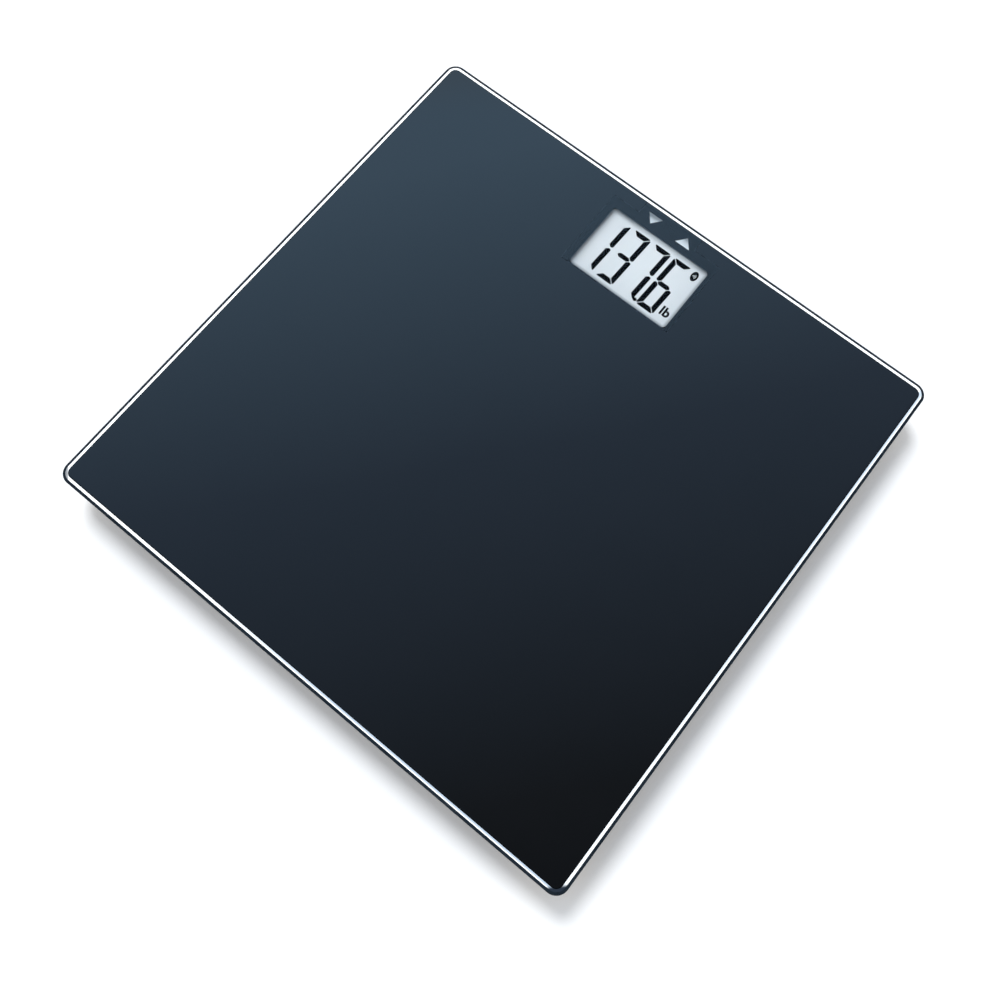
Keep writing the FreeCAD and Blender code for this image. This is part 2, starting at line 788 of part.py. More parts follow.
def housing_frame():
    body = new_body("at.housing_x", "at.housing_y", "at.split")
    base = sketch_on(body)
    rounded_rectangle(
        base, "0", "0", "at.housing_width", "at.housing_depth", "dims.housing_corner")
    pad(body, base, "dims.frame_height")
    inside = sketch_on(body)
    rounded_rectangle(
        inside, "0", "0", "at.housing_width - 2 * dims.housing_wall",
        "at.housing_depth - 2 * dims.housing_wall", "dims.housing_corner - dims.housing_wall")
    pocket(body, inside, "dims.frame_height - dims.flange_thickness", upwards=True)
    bosses = sketch_on(body)
    for x, y in housing_corners():
        circle(bosses, x, y, "dims.boss_radius")
    pad(body, bosses, "dims.frame_height")
    holes = sketch_on(body)
    for x, y in housing_corners():
        circle(holes, x, y, "dims.screw_radius + dims.screw_gap")
    pocket(body, holes, upwards=True)
    shell = body
    posts = [
        rod(x, y, "at.pcb_top", "dims.pcb_post_radius", "at.tape_bottom - at.pcb_top")
        for x, y in pcb_holes()]
    display = box(
        "at.display_x", "at.display_y", "at.split",
        "at.lcd_width + 2 * (at.holder_side + dims.opening_gap)",
        "at.lcd_depth + 2 * (at.holder_side + dims.opening_gap)", "dims.frame_height")
    batteries = bay_box("dims.bay_wall + dims.opening_gap", "at.split", "dims.frame_height")
    notches = [
        box(
            f"at.display_x + {entry}", "at.housing_front + dims.housing_wall / 2", "at.split",
            "at.lead_width", "dims.housing_wall", "at.flange_bottom - at.split")
        for entry in lead_entries()]
    pilot = [
        rod(
            x, y, "at.pcb_top", "dims.pcb_screw_radius + dims.screw_gap",
            "dims.pcb_screw_reach + dims.opening_gap")
        for x, y in pcb_holes()]
    node(cut(fuse(shell, *posts), display, batteries, *notches, *pilot), "housing_frame")


def housing_cover():
    body = new_body("at.housing_x", "at.housing_y", "dims.ground_clearance")
    depth = "at.split - dims.ground_clearance"
    base = sketch_on(body)
    rounded_rectangle(
        base, "0", "0", "at.housing_width", "at.housing_depth", "dims.housing_corner")
    pad(body, base, depth)
    soften(body, "Fillet", "dims.bottom_round", flat_at(0))
    inside = sketch_on(body, "dims.floor_thickness")
    rounded_rectangle(
        inside, "0", "0", "at.housing_width - 2 * dims.housing_wall",
        "at.housing_depth - 2 * dims.housing_wall", "dims.housing_corner - dims.housing_wall")
    pocket(body, inside, upwards=True)
    bosses = sketch_on(body, "dims.floor_thickness")
    for x, y in housing_corners():
        circle(bosses, x, y, "dims.boss_radius")
    pad(body, bosses, f"{depth} - dims.floor_thickness")
    for radius, height in (
            ("dims.screw_radius + dims.screw_gap", depth),
            ("dims.head_radius + dims.head_gap", "dims.head_depth")):
        holes = sketch_on(body)
        for x, y in housing_corners():
            circle(holes, x, y, radius)
        pocket(body, holes, height, upwards=True)
    # the battery bay: four walls and a roof, with two partitions that carry the contacts
    bay = bay_box("dims.bay_wall", "dims.ground_clearance", "at.bay_top - dims.ground_clearance")
    room = bay_box("0", "dims.ground_clearance", "at.bay_ceiling - dims.ground_clearance")
    hinge_clear = "at.hinge_z + dims.hinge_radius + dims.opening_gap"
    latch_clear = "at.floor_top + dims.latch_height + dims.opening_gap"
    partitions = []
    for y, foot in (
            ("at.contact_front - dims.bay_wall / 2", hinge_clear),
            ("at.contact_rear + dims.bay_wall / 2", "at.floor_top + dims.cell_gap")):
        partitions.append(box(
            "at.bay_x", y, foot, "at.bay_inside", "dims.bay_wall", f"at.bay_ceiling - ({foot})"))
    pin_radius = "dims.hinge_pin_radius + dims.hinge_pin_gap"
    sockets = [
        rod("at.bay_x + at.bay_inside / 2", "at.hinge_y", "at.hinge_z", pin_radius, "dims.bay_wall", "x"),
        rod(
            "at.bay_x - at.bay_inside / 2 - dims.bay_wall", "at.hinge_y", "at.hinge_z", pin_radius,
            "dims.bay_wall", "x")]
    windows = [
        box(
            key_x(side), "at.housing_rear - dims.housing_wall / 2",
            "at.key_z - dims.key_height / 2 - dims.key_gap", "dims.key_width + 2 * dims.key_gap",
            "dims.housing_wall", "dims.key_height + 2 * dims.key_gap")
        for side in (-1, 1)]
    unit_hole = rod(
        "at.unit_key_x", "at.unit_key_y", "dims.ground_clearance",
        "dims.unit_key_radius + dims.key_gap", "dims.floor_thickness")
    shell = cut(fuse(body, bay), room, *sockets, *windows, unit_hole)
    node(fuse(shell, *partitions), "housing_cover")


def screw(x, y, head_z, radius, reach, head_radius, head_height):
    # a pan head under its seat, a plain shank above it and a cross recess in the head
    head = rod(x, y, f"{head_z} - {head_height}", head_radius, head_height)
    shank = rod(x, y, head_z, radius, reach)
    under = f"{head_z} - {head_height}"
    slots = [
        box(x, y, under, width, depth, "dims.cross_depth")
        for width, depth in (
            (f"dims.cross_share * {head_radius}", "dims.cross_width"),
            ("dims.cross_width", f"dims.cross_share * {head_radius}"))]
    return cut(fuse(head, shank), *slots)


def fasteners():
    seat = "dims.ground_clearance + dims.head_depth"
    reach = "at.split + dims.screw_reach - (dims.ground_clearance + dims.head_depth)"
    node(group(*[
        screw(
            f"at.housing_x + {x}", f"at.housing_y + {y}", seat, "dims.screw_radius", reach,
            "dims.head_radius", "dims.head_height")
        for x, y in housing_corners()]), "cover_screws")
    node(group(*[
        screw(
            x, y, "at.pcb_bottom", "dims.pcb_screw_radius",
            "dims.pcb_thickness + dims.pcb_screw_reach", "dims.pcb_head_radius",
            "dims.pcb_head_height")
        for x, y in pcb_holes()]), "pcb_screws")


def rating_label():
    node(
        box(
            "at.display_x + dims.label_offset", "at.housing_rear - dims.label_setback",
            "dims.ground_clearance - dims.label_thickness", "dims.label_width", "dims.label_depth",
            "dims.label_thickness"),
        "rating_label")


# ---- the batteries, their contacts and their door

def coil(start, direction):
    # a contact spring wound from a contact plate to the flat end of a battery
    wire = value("dims.spring_wire")
    length = value("dims.spring_space") - 2 * wire
    turns = value("dims.spring_turns")
    radius = value("dims.spring_radius")
    helix = Part.makeHelix(length / turns, length, radius)
    ring = Part.Wire([Part.makeCircle(wire, Vector(radius, 0, 0), Vector(0, 1, 0))])
    turned = Part.Wire(helix.Edges).makePipeShell([ring], True, True)
    spring = doc.addObject("Part::Feature", "spring")
    spring.Shape = turned
    spring.Placement = Placement(
        start + direction * wire, Rotation(Vector(0, 0, 1), direction))
    return spring


def batteries():
    springs = []
    plates = []
    for number in range(3):
        # neighbours lie head to tail
        x = f"at.bay_x + {number - 1} * at.cell_pitch"
        forward = number % 2 == 0
        spring_y = "at.contact_front" if forward else "at.contact_rear"
        side = 1 if forward else -1
        flat_end = f"{spring_y} + {side} * (dims.contact_thickness + dims.spring_space)"
        case = "dims.cell_length - dims.nub_length"
        can_y = flat_end if forward else f"{flat_end} - ({case})"
        nub_y = f"{flat_end} + {case}" if forward else f"{flat_end} - dims.cell_length"
        can = rod(x, can_y, "at.cell_axis", "dims.cell_diameter / 2", case, axis="y")
        nub = rod(x, nub_y, "at.cell_axis", "dims.nub_radius", "dims.nub_length", axis="y")
        node(fuse(can, nub), f"battery_{number + 1}")
        base = "at.cell_axis - dims.contact_side / 2"
        for is_spring, near in ((True, forward), (False, not forward)):
            y = "at.contact_front" if near else "at.contact_rear - dims.contact_thickness"
            plate = box(
                x, f"{y} + dims.contact_thickness / 2", base, "dims.contact_side",
                "dims.contact_thickness", "dims.contact_side")
            if not is_spring:
                plates.append(plate)
                continue
            foot = Vector(value(x), value(f"{spring_y} + {side} * dims.contact_thickness"),
                          value("at.cell_axis"))
            springs.extend((plate, coil(foot, Vector(0, side, 0))))
    node(group(*springs), "battery_springs")
    node(group(*plates), "battery_plates")


def battery_door():
    width = "at.bay_inside - 2 * dims.door_gap"
    front = "at.hinge_y - dims.hinge_radius"
    rear = "at.bay_rear - dims.door_gap"
    leaf = box(
        "at.bay_x", f"({front} + {rear}) / 2", "dims.ground_clearance", width, f"{rear} - ({front})",
        "dims.floor_thickness")
    barrel = rod(f"at.bay_x - ({width}) / 2", "at.hinge_y", "at.hinge_z", "dims.hinge_radius", width, "x")
    pin_length = f"{width} + 2 * dims.hinge_pin_length"
    pins = rod(
        f"at.bay_x - ({pin_length}) / 2", "at.hinge_y", "at.hinge_z", "dims.hinge_pin_radius",
        pin_length, "x")
    latch = box(
        "at.bay_x", f"{rear} - dims.latch_inset - dims.latch_wall / 2", "dims.ground_clearance",
        "dims.latch_width", "dims.latch_wall", "dims.floor_thickness + dims.latch_height")
    grips = [
        box(
            "at.bay_x", f"{rear} - dims.grip_start - {step} * dims.grip_pitch",
            "dims.ground_clearance", "dims.latch_width", "dims.grip_width", "dims.grip_depth")
        for step in range(round(value("dims.grip_count")))]
    thumb = rod(
        "at.bay_x", f"{rear} - dims.thumb_reach + dims.thumb_radius", "dims.ground_clearance",
        "dims.thumb_radius", "dims.thumb_depth")
    node(cut(fuse(leaf, barrel, pins, latch), thumb, *grips), "battery_door")


# ---- the keys

def keys():
    flange_width = "dims.key_width + 2 * dims.key_lap"
    flange_height = "dims.key_height + 2 * dims.key_lap"
    for side, name in ((-1, "down"), (1, "up")):
        body = new_body(key_x(side), "at.key_flange_front", "at.key_z")
        cap = sketch_on(body, "-dims.key_height / 2")
        reach = "at.housing_rear + dims.key_proud - at.key_flange_front"
        rectangle(cap, "0", f"({reach}) / 2", "dims.key_width", reach)
        pad(body, cap, "dims.key_height")
        nose = value(reach)
        soften(
            body, "Fillet", "dims.key_round",
            lambda edge: abs(edge.BoundBox.YMin - nose) < 1e-4 and abs(edge.BoundBox.YMax - nose) < 1e-4)
        flange = sketch_on(body, f"-({flange_height}) / 2")
        rectangle(flange, "0", "dims.key_flange / 2", flange_width, "dims.key_flange")
        pad(body, flange, flange_height)
        stem = sketch_on(body, "-dims.plunger_radius")
        stem_length = "at.key_flange_front - at.plunger_tip"
        rectangle(stem, "0", f"-({stem_length}) / 2", "2 * dims.plunger_radius", stem_length)
        pad(body, stem, "2 * dims.plunger_radius")
        node(body, f"{name}_key")
        node(
            rod(
                key_x(side), "at.switch_face - dims.plunger_in", "at.key_z", "dims.plunger_radius",
                "dims.plunger_in + dims.plunger_out", "y"),
            f"{name}_plunger")
    tip = "at.unit_switch_bottom - dims.plunger_in"
    low = "dims.ground_clearance + dims.unit_key_sunk"
    button = rod(
        "at.unit_key_x", "at.unit_key_y", low, "dims.unit_key_radius", f"at.unit_flange_bottom - ({low})")
    flange = rod(
        "at.unit_key_x", "at.unit_key_y", "at.unit_flange_bottom",
        "dims.unit_key_radius + 2 * dims.key_lap", "dims.key_flange")
    stem = rod(
        "at.unit_key_x", "at.unit_key_y", "at.unit_flange_bottom", "dims.plunger_radius",
        f"{tip} - at.unit_flange_bottom")
    node(fuse(button, flange, stem), "unit_key")
    node(
        rod("at.unit_key_x", "at.unit_key_y", tip, "dims.plunger_radius", "2 * dims.plunger_in"),
        "unit_plunger")


# ---- the feet: each is modelled with its lead leaving towards its own -Y

feet = (
    ("front_left", -1, -1),
    ("front_right", 1, -1),
    ("rear_left", -1, 1),
    ("rear_right", 1, 1),
)


def foot_place(side, end):
    return f"{side} * at.foot_x", f"{end} * at.foot_y"


def foot_body(side, end, z="0"):
    x, y = foot_place(side, end)
    return new_body(x, y, z, "180" if end < 0 else "0")


def foot_housing(name, side, end):
    body = foot_body(side, end)
    inner_top = "at.foot_wall_radius - dims.foot_wall"
    inner_low = "at.foot_room"
    lip_top = "dims.foot_skirt + dims.foot_lip"
    flange_under = "at.tape_bottom - dims.flange_thickness"
    revolve(body, (
        ("0", "at.tape_bottom"), ("0", "at.roof_under"), (inner_top, "at.roof_under"),
        (inner_low, lip_top), ("at.foot_mouth", lip_top),
        ("at.foot_mouth", "dims.foot_skirt"), ("at.foot_lip_radius", "dims.foot_skirt"),
        ("at.foot_wall_radius", flange_under), ("at.foot_flange_radius", flange_under),
        ("at.foot_flange_radius", "at.tape_bottom")))
    # posts that the load cell's corners bear on, and hooked ribs on the three sides without a lead
    posts = sketch_on(body, "at.roof_under")
    corner = "(dims.plate_side / 2 - dims.post_inset)"
    for x in (-1, 1):
        for y in (-1, 1):
            circle(posts, f"{x} * {corner}", f"{y} * {corner}", "dims.post_radius")
    pad(body, posts, "dims.post_height", reversed_=True)
    rib_near = "(dims.plate_side / 2 + dims.rib_gap)"
    rib_middle = f"({rib_near} + dims.rib_thickness / 2)"
    hook_end = "(dims.plate_side / 2 + dims.rib_gap - dims.hook_reach)"
    hook_middle = f"(({hook_end} + {rib_near}) / 2)"
    rib_foot = "at.plate_bottom - dims.hook_gap - dims.hook_height"
    ribs = sketch_on(body, rib_foot)
    rectangle(ribs, f"-{rib_middle}", "0", "dims.rib_thickness", "dims.rib_length")
    rectangle(ribs, rib_middle, "0", "dims.rib_thickness", "dims.rib_length")
    rectangle(ribs, "0", rib_middle, "dims.rib_length", "dims.rib_thickness")
    pad(body, ribs, f"at.roof_under - ({rib_foot})")
    hooks = sketch_on(body, rib_foot)
    reach = "dims.hook_reach"
    rectangle(hooks, f"-{hook_middle}", "0", reach, "dims.rib_length")
    rectangle(hooks, hook_middle, "0", reach, "dims.rib_length")
    rectangle(hooks, "0", hook_middle, "dims.rib_length", reach)
    pad(body, hooks, "dims.hook_height")
    notch = sketch_on(body, "at.lead_bed - dims.wire_gap")
    rectangle(
        notch, "0", "-at.foot_wall_radius + dims.foot_wall / 2", "at.lead_width",
        "3 * dims.foot_wall")
    pocket(body, notch, "at.roof_under - (at.lead_bed - dims.wire_gap)", upwards=True)
    node(body, f"foot_housing_{name}")


def load_cell(name, side, end):
    # a steel plate whose tongue is freed by a slot round three of its sides
    body = foot_body(side, end, "at.plate_bottom")
    base = sketch_on(body)
    rounded_rectangle(base, "0", "0", "dims.plate_side", "dims.plate_side", "dims.plate_round")
    pad(body, base, "dims.plate_steel")
    outer = "(dims.tongue_width / 2 + dims.slot_width)"
    inner = "dims.tongue_width / 2"
    tip = "dims.tongue_reach"
    root = "(dims.tongue_reach + dims.slot_width - dims.slot_length)"
    slot = sketch_on(body)
    outline(slot, (
        (f"-{outer}", root), (f"-{inner}", root), (f"-{inner}", tip), (inner, tip), (inner, root),
        (outer, root), (outer, f"{tip} + dims.slot_width"), (f"-{outer}", f"{tip} + dims.slot_width")))
    pocket(body, slot, upwards=True)
    node(body, f"load_cell_{name}")


def foot_cup(name, side, end):
    body = foot_body(side, end)
    low = "dims.pad_thickness"
    floor = "(dims.pad_thickness + dims.cup_floor)"
    rim = "(at.cup_flange_bottom + dims.cup_flange)"
    revolve(body, (
        ("0", low), ("at.cup_radius", low), ("at.cup_radius", "at.cup_flange_bottom"),
        ("at.cup_flange_radius", "at.cup_flange_bottom"), ("at.cup_flange_radius", rim), ("at.cup_radius - dims.cup_wall", rim),
        ("at.cup_radius - dims.cup_wall", floor), ("dims.button_root", floor),
        ("dims.button_radius", "at.button_top"), ("0", "at.button_top")))
    node(body, f"foot_cup_{name}")


def foot_pad(name, side, end):
    body = foot_body(side, end)
    radius = "(at.cup_radius - dims.pad_inset)"
    groove_in = "(dims.groove_radius - dims.groove_width / 2)"
    groove_out = "(dims.groove_radius + dims.groove_width / 2)"
    revolve(body, (
        ("0", "0"), (groove_in, "0"), (groove_in, "dims.groove_depth"), (groove_out, "dims.groove_depth"),
        (groove_out, "0"), (f"{radius} - dims.pad_edge", "0"), (radius, "dims.pad_edge"),
        (radius, "dims.pad_thickness"), ("0", "dims.pad_thickness")))
    node(body, f"foot_pad_{name}")


def foot_common():
    rings = []
    gauges = []
    for _, side, end in feet:
        x, y = foot_place(side, end)
        rings.append(rod(
            x, y, "at.tape_bottom", "at.foot_flange_radius - dims.foot_tape_inset",
            "dims.tape_thickness"))
        gauges.append(box(
            x, f"{y} - {end} * dims.gauge_offset", "at.plate_top", "dims.gauge_width",
            "dims.gauge_length", "dims.gauge_height"))
    node(group(*rings), "foot_adhesives")
    node(group(*gauges), "strain_gauges")


# ---- the leads from the load cells to the board, and the ducts that carry them

def route_points(side, end):
    # the middle line of a lead: out of the foot, across to its entry and into the housing
    rank = 0 if end > 0 else 1
    x, y = foot_place(side, end)
    entry = f"at.display_x + {side} * (dims.lead_entry - {rank} * at.duct_pitch)"
    branch = f"at.branch_y - {rank} * at.duct_pitch"
    leave = f"{y} - {end} * (dims.gauge_offset + dims.gauge_length / 2)"
    return ((x, leave), (x, branch), (entry, branch), (entry, "at.pcb_front"))


def swept(points, bends, radius):
    # a round wire along straight runs that tangent arcs join
    edges = []
    start = points[0]
    length = 0
    for before, corner, after, bend in zip(points, points[1:], points[2:], bends):
        along = (corner - before).normalize()
        onward = (after - corner).normalize()
        turn = along.getAngle(onward)
        reach = bend * math.tan(turn / 2)
        first = corner - along * reach
        last = corner + onward * reach
        middle = corner + (onward - along).normalize() * (bend / math.cos(turn / 2) - bend)
        edges.append(Part.LineSegment(start, first).toShape())
        edges.append(Part.Arc(first, middle, last).toShape())
        length += (first - start).Length + bend * turn
        start = last
    edges.append(Part.LineSegment(start, points[-1]).toShape())
    length += (points[-1] - start).Length
    ring = Part.Wire([Part.makeCircle(radius, points[0], (points[1] - points[0]).normalize())])
    solid = Part.Wire(edges).makePipeShell([ring], True, True)
    expected = math.pi * radius ** 2 * length
    if abs(solid.Volume - expected) > 0.01 * expected:
        raise ValueError("a wire's volume differs from its section times its length")
    return solid


def lead(name, side, end):
    route = [Vector(value(x), value(y), value("at.lead_level")) for x, y in route_points(side, end)]
    radius, pitch = value("dims.wire_radius"), value("dims.wire_pitch")
    bend, dip_bend = value("dims.lead_bend"), value("dims.lead_dip_bend")
    landing_z = value("at.pcb_top") + radius
    inside_wall = value("at.housing_front + dims.housing_wall")
    board_y = value("at.pcb_front + dims.lead_board_inset")
    end_y = value("at.holder_front - dims.lead_end_gap")
    # the way the lead leaves its foot and the way it crosses over, each as a sign
    out, across = -end, -side
    wires = []
    radii = []
    for step in (-1, 0, 1):
        shift = step * pitch
        first_turn = -across * out
        second_turn = across
        line = [
            route[0] + Vector(-out * shift, 0, 0),
            route[1] + Vector(-out * shift, across * shift, 0),
            route[2] + Vector(-shift, across * shift, 0),
            Vector(route[3].x - shift, inside_wall, route[3].z),
            Vector(route[3].x - shift, board_y, landing_z),
            Vector(route[3].x - shift, end_y, landing_z),
        ]
        bends = [bend - first_turn * shift, bend - second_turn * shift, dip_bend, dip_bend]
        radii.extend(bends)
        wires.append(swept(line, bends, radius))
    print("lead", name, "bend radii", sorted(set(radii)))
    item = doc.addObject("Part::Feature", "lead")
    item.Shape = Part.makeCompound(wires)
    item.Placement = Placement()
    node(item, f"lead_{name}")


def cable_duct(name, side, end):
    # a channel glued to the print, open at the top, round the lead's middle line
    points = route_points(side, end)
    x, y = foot_place(side, end)
    near_foot = f"{y} - {end} * (at.foot_flange_radius + dims.duct_gap)"
    near_housing = "at.housing_front - dims.duct_gap"
    top = "at.print_bottom"
    solids = []
    for width, low, past in (
            ("at.duct_outer", "at.lead_bed - dims.duct_wall", "0"),
            ("dims.duct_inner", "at.lead_bed", "1")):
        # the hollow runs past the open ends
        first_far = f"{points[1][1]} - {end} * ({width}) / 2"
        first_near = f"{near_foot} + {end} * {past}"
        last_near = f"{points[2][1]} - ({width}) / 2"
        last_far = f"{near_housing} + {past}"
        height = f"{top} - ({low})"
        solids.append(fuse(
            box(
                x, f"({first_near} + {first_far}) / 2", low, width,
                f"{end} * ({first_near} - ({first_far}))", height),
            box(
                f"({x} + {points[2][0]}) / 2", points[1][1], low,
                f"{side} * ({x} - ({points[2][0]})) + ({width})", width, height),
            box(
                points[2][0], f"({last_near} + {last_far}) / 2", low, width,
                f"{last_far} - ({last_near})", height)))
    node(cut(*solids), f"cable_duct_{name}")


glass_platform()
back_print()
key_marks()
display_stack()
lcd_holder()
main_pcb()
board_parts()
key_switches()
housing_adhesive()
housing_frame()
housing_cover()
fasteners()
rating_label()
batteries()
battery_door()
keys()
foot_common()
for corner in feet:
    foot_housing(*corner)
    load_cell(*corner)
    foot_cup(*corner)
    foot_pad(*corner)
    lead(*corner)
    cable_duct(*corner)

doc.recompute()
for item in doc.Objects:
    if {"Invalid", "Error"} & set(item.State):
        raise ValueError(f"{item.Name} ({item.Label}) did not compute")
for item in nodes:
    if item.Shape.isNull() or not item.Shape.isValid():
        raise ValueError(f"{item.Label} has no valid shape")

os.makedirs("parts", exist_ok=True)
for item in nodes:
    item.Shape.exportStep(f"parts/{item.Label}.step")
    print(item.Label, len(item.Shape.Solids), round(item.Shape.Volume, 1))
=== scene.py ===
import math

import bmesh
import bpy
from mathutils import Matrix, Vector


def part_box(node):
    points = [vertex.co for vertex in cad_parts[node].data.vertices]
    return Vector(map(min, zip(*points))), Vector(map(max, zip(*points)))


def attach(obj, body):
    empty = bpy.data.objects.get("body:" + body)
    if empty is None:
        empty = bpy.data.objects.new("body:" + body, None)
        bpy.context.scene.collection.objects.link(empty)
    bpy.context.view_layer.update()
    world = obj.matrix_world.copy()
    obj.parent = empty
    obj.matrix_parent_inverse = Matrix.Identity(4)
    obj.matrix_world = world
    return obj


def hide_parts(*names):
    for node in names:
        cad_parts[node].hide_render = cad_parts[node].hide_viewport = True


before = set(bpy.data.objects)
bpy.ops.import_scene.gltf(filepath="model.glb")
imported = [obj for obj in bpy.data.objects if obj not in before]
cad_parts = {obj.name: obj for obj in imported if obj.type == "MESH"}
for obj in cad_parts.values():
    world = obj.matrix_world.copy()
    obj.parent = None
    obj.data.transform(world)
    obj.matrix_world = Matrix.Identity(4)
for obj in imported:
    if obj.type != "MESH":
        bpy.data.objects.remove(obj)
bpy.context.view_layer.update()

mm = 0.001
print("frame loaded:", len(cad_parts), "nodes")


# camera, lights and floor

camera = {
    "place": (0.0832, -0.1096, 0.4369),
    "turn": (14.071, -0.486, 38.693),
    "lens": 32.06,
}
cameraData = bpy.data.cameras.new("camera")
cameraData.lens = camera["lens"]
cameraData.sensor_width = 36
cameraData.clip_start = 0.01
cameraObject = bpy.data.objects.new("camera", cameraData)
cameraObject.location = camera["place"]
cameraObject.rotation_euler = [math.radians(angle) for angle in camera["turn"]]
bpy.context.scene.collection.objects.link(cameraObject)
bpy.context.scene.camera = cameraObject

studio = {
    "keyStrength": 2.5,
    "keyHeight": 54,        # degrees above the floor
    "keyAngle": 20,         # how soft its shadows are, degrees
    "skyStrength": 2.4,
    "lowSky": (0.705, 0.662, 0.60, 1),      # share of skyStrength near the horizon
    "lowSkyMirrored": (0.36, 0.40, 0.44, 1),    # what the glass mirrors of it
    "brightSide": (-0.777, 0.629, 0),       # where the sky overhead is brightest
    "spread": (-0.4, 0.75),         # the gradient's ends along that direction
    "horizon": (0.62, 0.74),        # where the low sky gives way to the gradient
    "skyStops": (
        (0.0, (0.032, 0.036, 0.046, 1)),
        (0.19, (0.060, 0.073, 0.093, 1)),
        (0.59, (0.175, 0.262, 0.392, 1)),
        (0.90, (0.370, 0.600, 0.855, 1)),
    ),
    "keySide": (-0.81, 0.59),       # the key light's direction over the floor
    "floorSide": 6.0,
    "floorColour": (0.80, 0.80, 0.80, 1),
}
scene = bpy.context.scene
scene.view_settings.view_transform = "Standard"
scene.view_settings.look = "None"


def addSky():
    # a blue-grey gradient overhead, brighter towards -X +Y, and a plain pale sky lower down
    world = bpy.data.worlds.new("studioSky")
    scene.world = world
    world.use_nodes = True
    nodes, links = world.node_tree.nodes, world.node_tree.links
    nodes.clear()
    place = nodes.new("ShaderNodeTexCoord")
    side = nodes.new("ShaderNodeVectorMath")
    side.operation = "DOT_PRODUCT"
    side.inputs[1].default_value = studio["brightSide"]
    links.new(place.outputs["Generated"], side.inputs[0])
    spread = nodes.new("ShaderNodeMapRange")
    spread.inputs["From Min"].default_value = studio["spread"][0]
    spread.inputs["From Max"].default_value = studio["spread"][1]
    links.new(side.outputs["Value"], spread.inputs["Value"])
    ramp = nodes.new("ShaderNodeValToRGB")
    stops = studio["skyStops"]
    while len(ramp.color_ramp.elements) < len(stops):
        ramp.color_ramp.elements.new(0.5)
    for element, (where, colour) in zip(ramp.color_ramp.elements, stops):
        element.position = where
        element.color = colour
    links.new(spread.outputs["Result"], ramp.inputs["Fac"])
    height = nodes.new("ShaderNodeSeparateXYZ")
    links.new(place.outputs["Generated"], height.inputs[0])
    low = nodes.new("ShaderNodeMapRange")
    low.interpolation_type = "SMOOTHSTEP"
    low.inputs["From Min"].default_value = studio["horizon"][0]
    low.inputs["From Max"].default_value = studio["horizon"][1]
    links.new(height.outputs["Z"], low.inputs["Value"])
    blend = nodes.new("ShaderNodeMix")
    blend.data_type = "RGBA"
    links.new(low.outputs["Result"], blend.inputs[0])
    path = nodes.new("ShaderNodeLightPath")
    mirrored = nodes.new("ShaderNodeMix")
    mirrored.data_type = "RGBA"
    mirrored.inputs[6].default_value = studio["lowSky"]
    mirrored.inputs[7].default_value = studio["lowSkyMirrored"]
    # only what is mirrored, not what passes through the glass
    only = nodes.new("ShaderNodeMath")
    only.operation = "SUBTRACT"
    only.use_clamp = True
    links.new(path.outputs["Is Glossy Ray"], only.inputs[0])
    links.new(path.outputs["Is Transmission Ray"], only.inputs[1])
    links.new(only.outputs[0], mirrored.inputs[0])
    links.new(mirrored.outputs[2], blend.inputs[6])
    links.new(ramp.outputs["Color"], blend.inputs[7])
    sky = nodes.new("ShaderNodeBackground")
    sky.inputs["Strength"].default_value = studio["skyStrength"]
    links.new(blend.outputs[2], sky.inputs["Color"])
    out = nodes.new("ShaderNodeOutputWorld")
    links.new(sky.outputs[0], out.inputs["Surface"])


def addKeyLight():
    lamp = bpy.data.lights.new("keyLight", "SUN")
    lamp.energy = studio["keyStrength"]
    lamp.angle = math.radians(studio["keyAngle"])
    lampObject = bpy.data.objects.new("keyLight", lamp)
    lampObject.visible_glossy = False       # the glass mirrors the sky only
    lampObject.visible_transmission = False
    rise = math.radians(studio["keyHeight"])
    sideX, sideY = studio["keySide"]
    towards = Vector((sideX * math.cos(rise), sideY * math.cos(rise), math.sin(rise)))
    lampObject.rotation_euler = towards.to_track_quat("Z", "Y").to_euler()
    scene.collection.objects.link(lampObject)


addSky()
addKeyLight()


# node helpers shared by the finishes

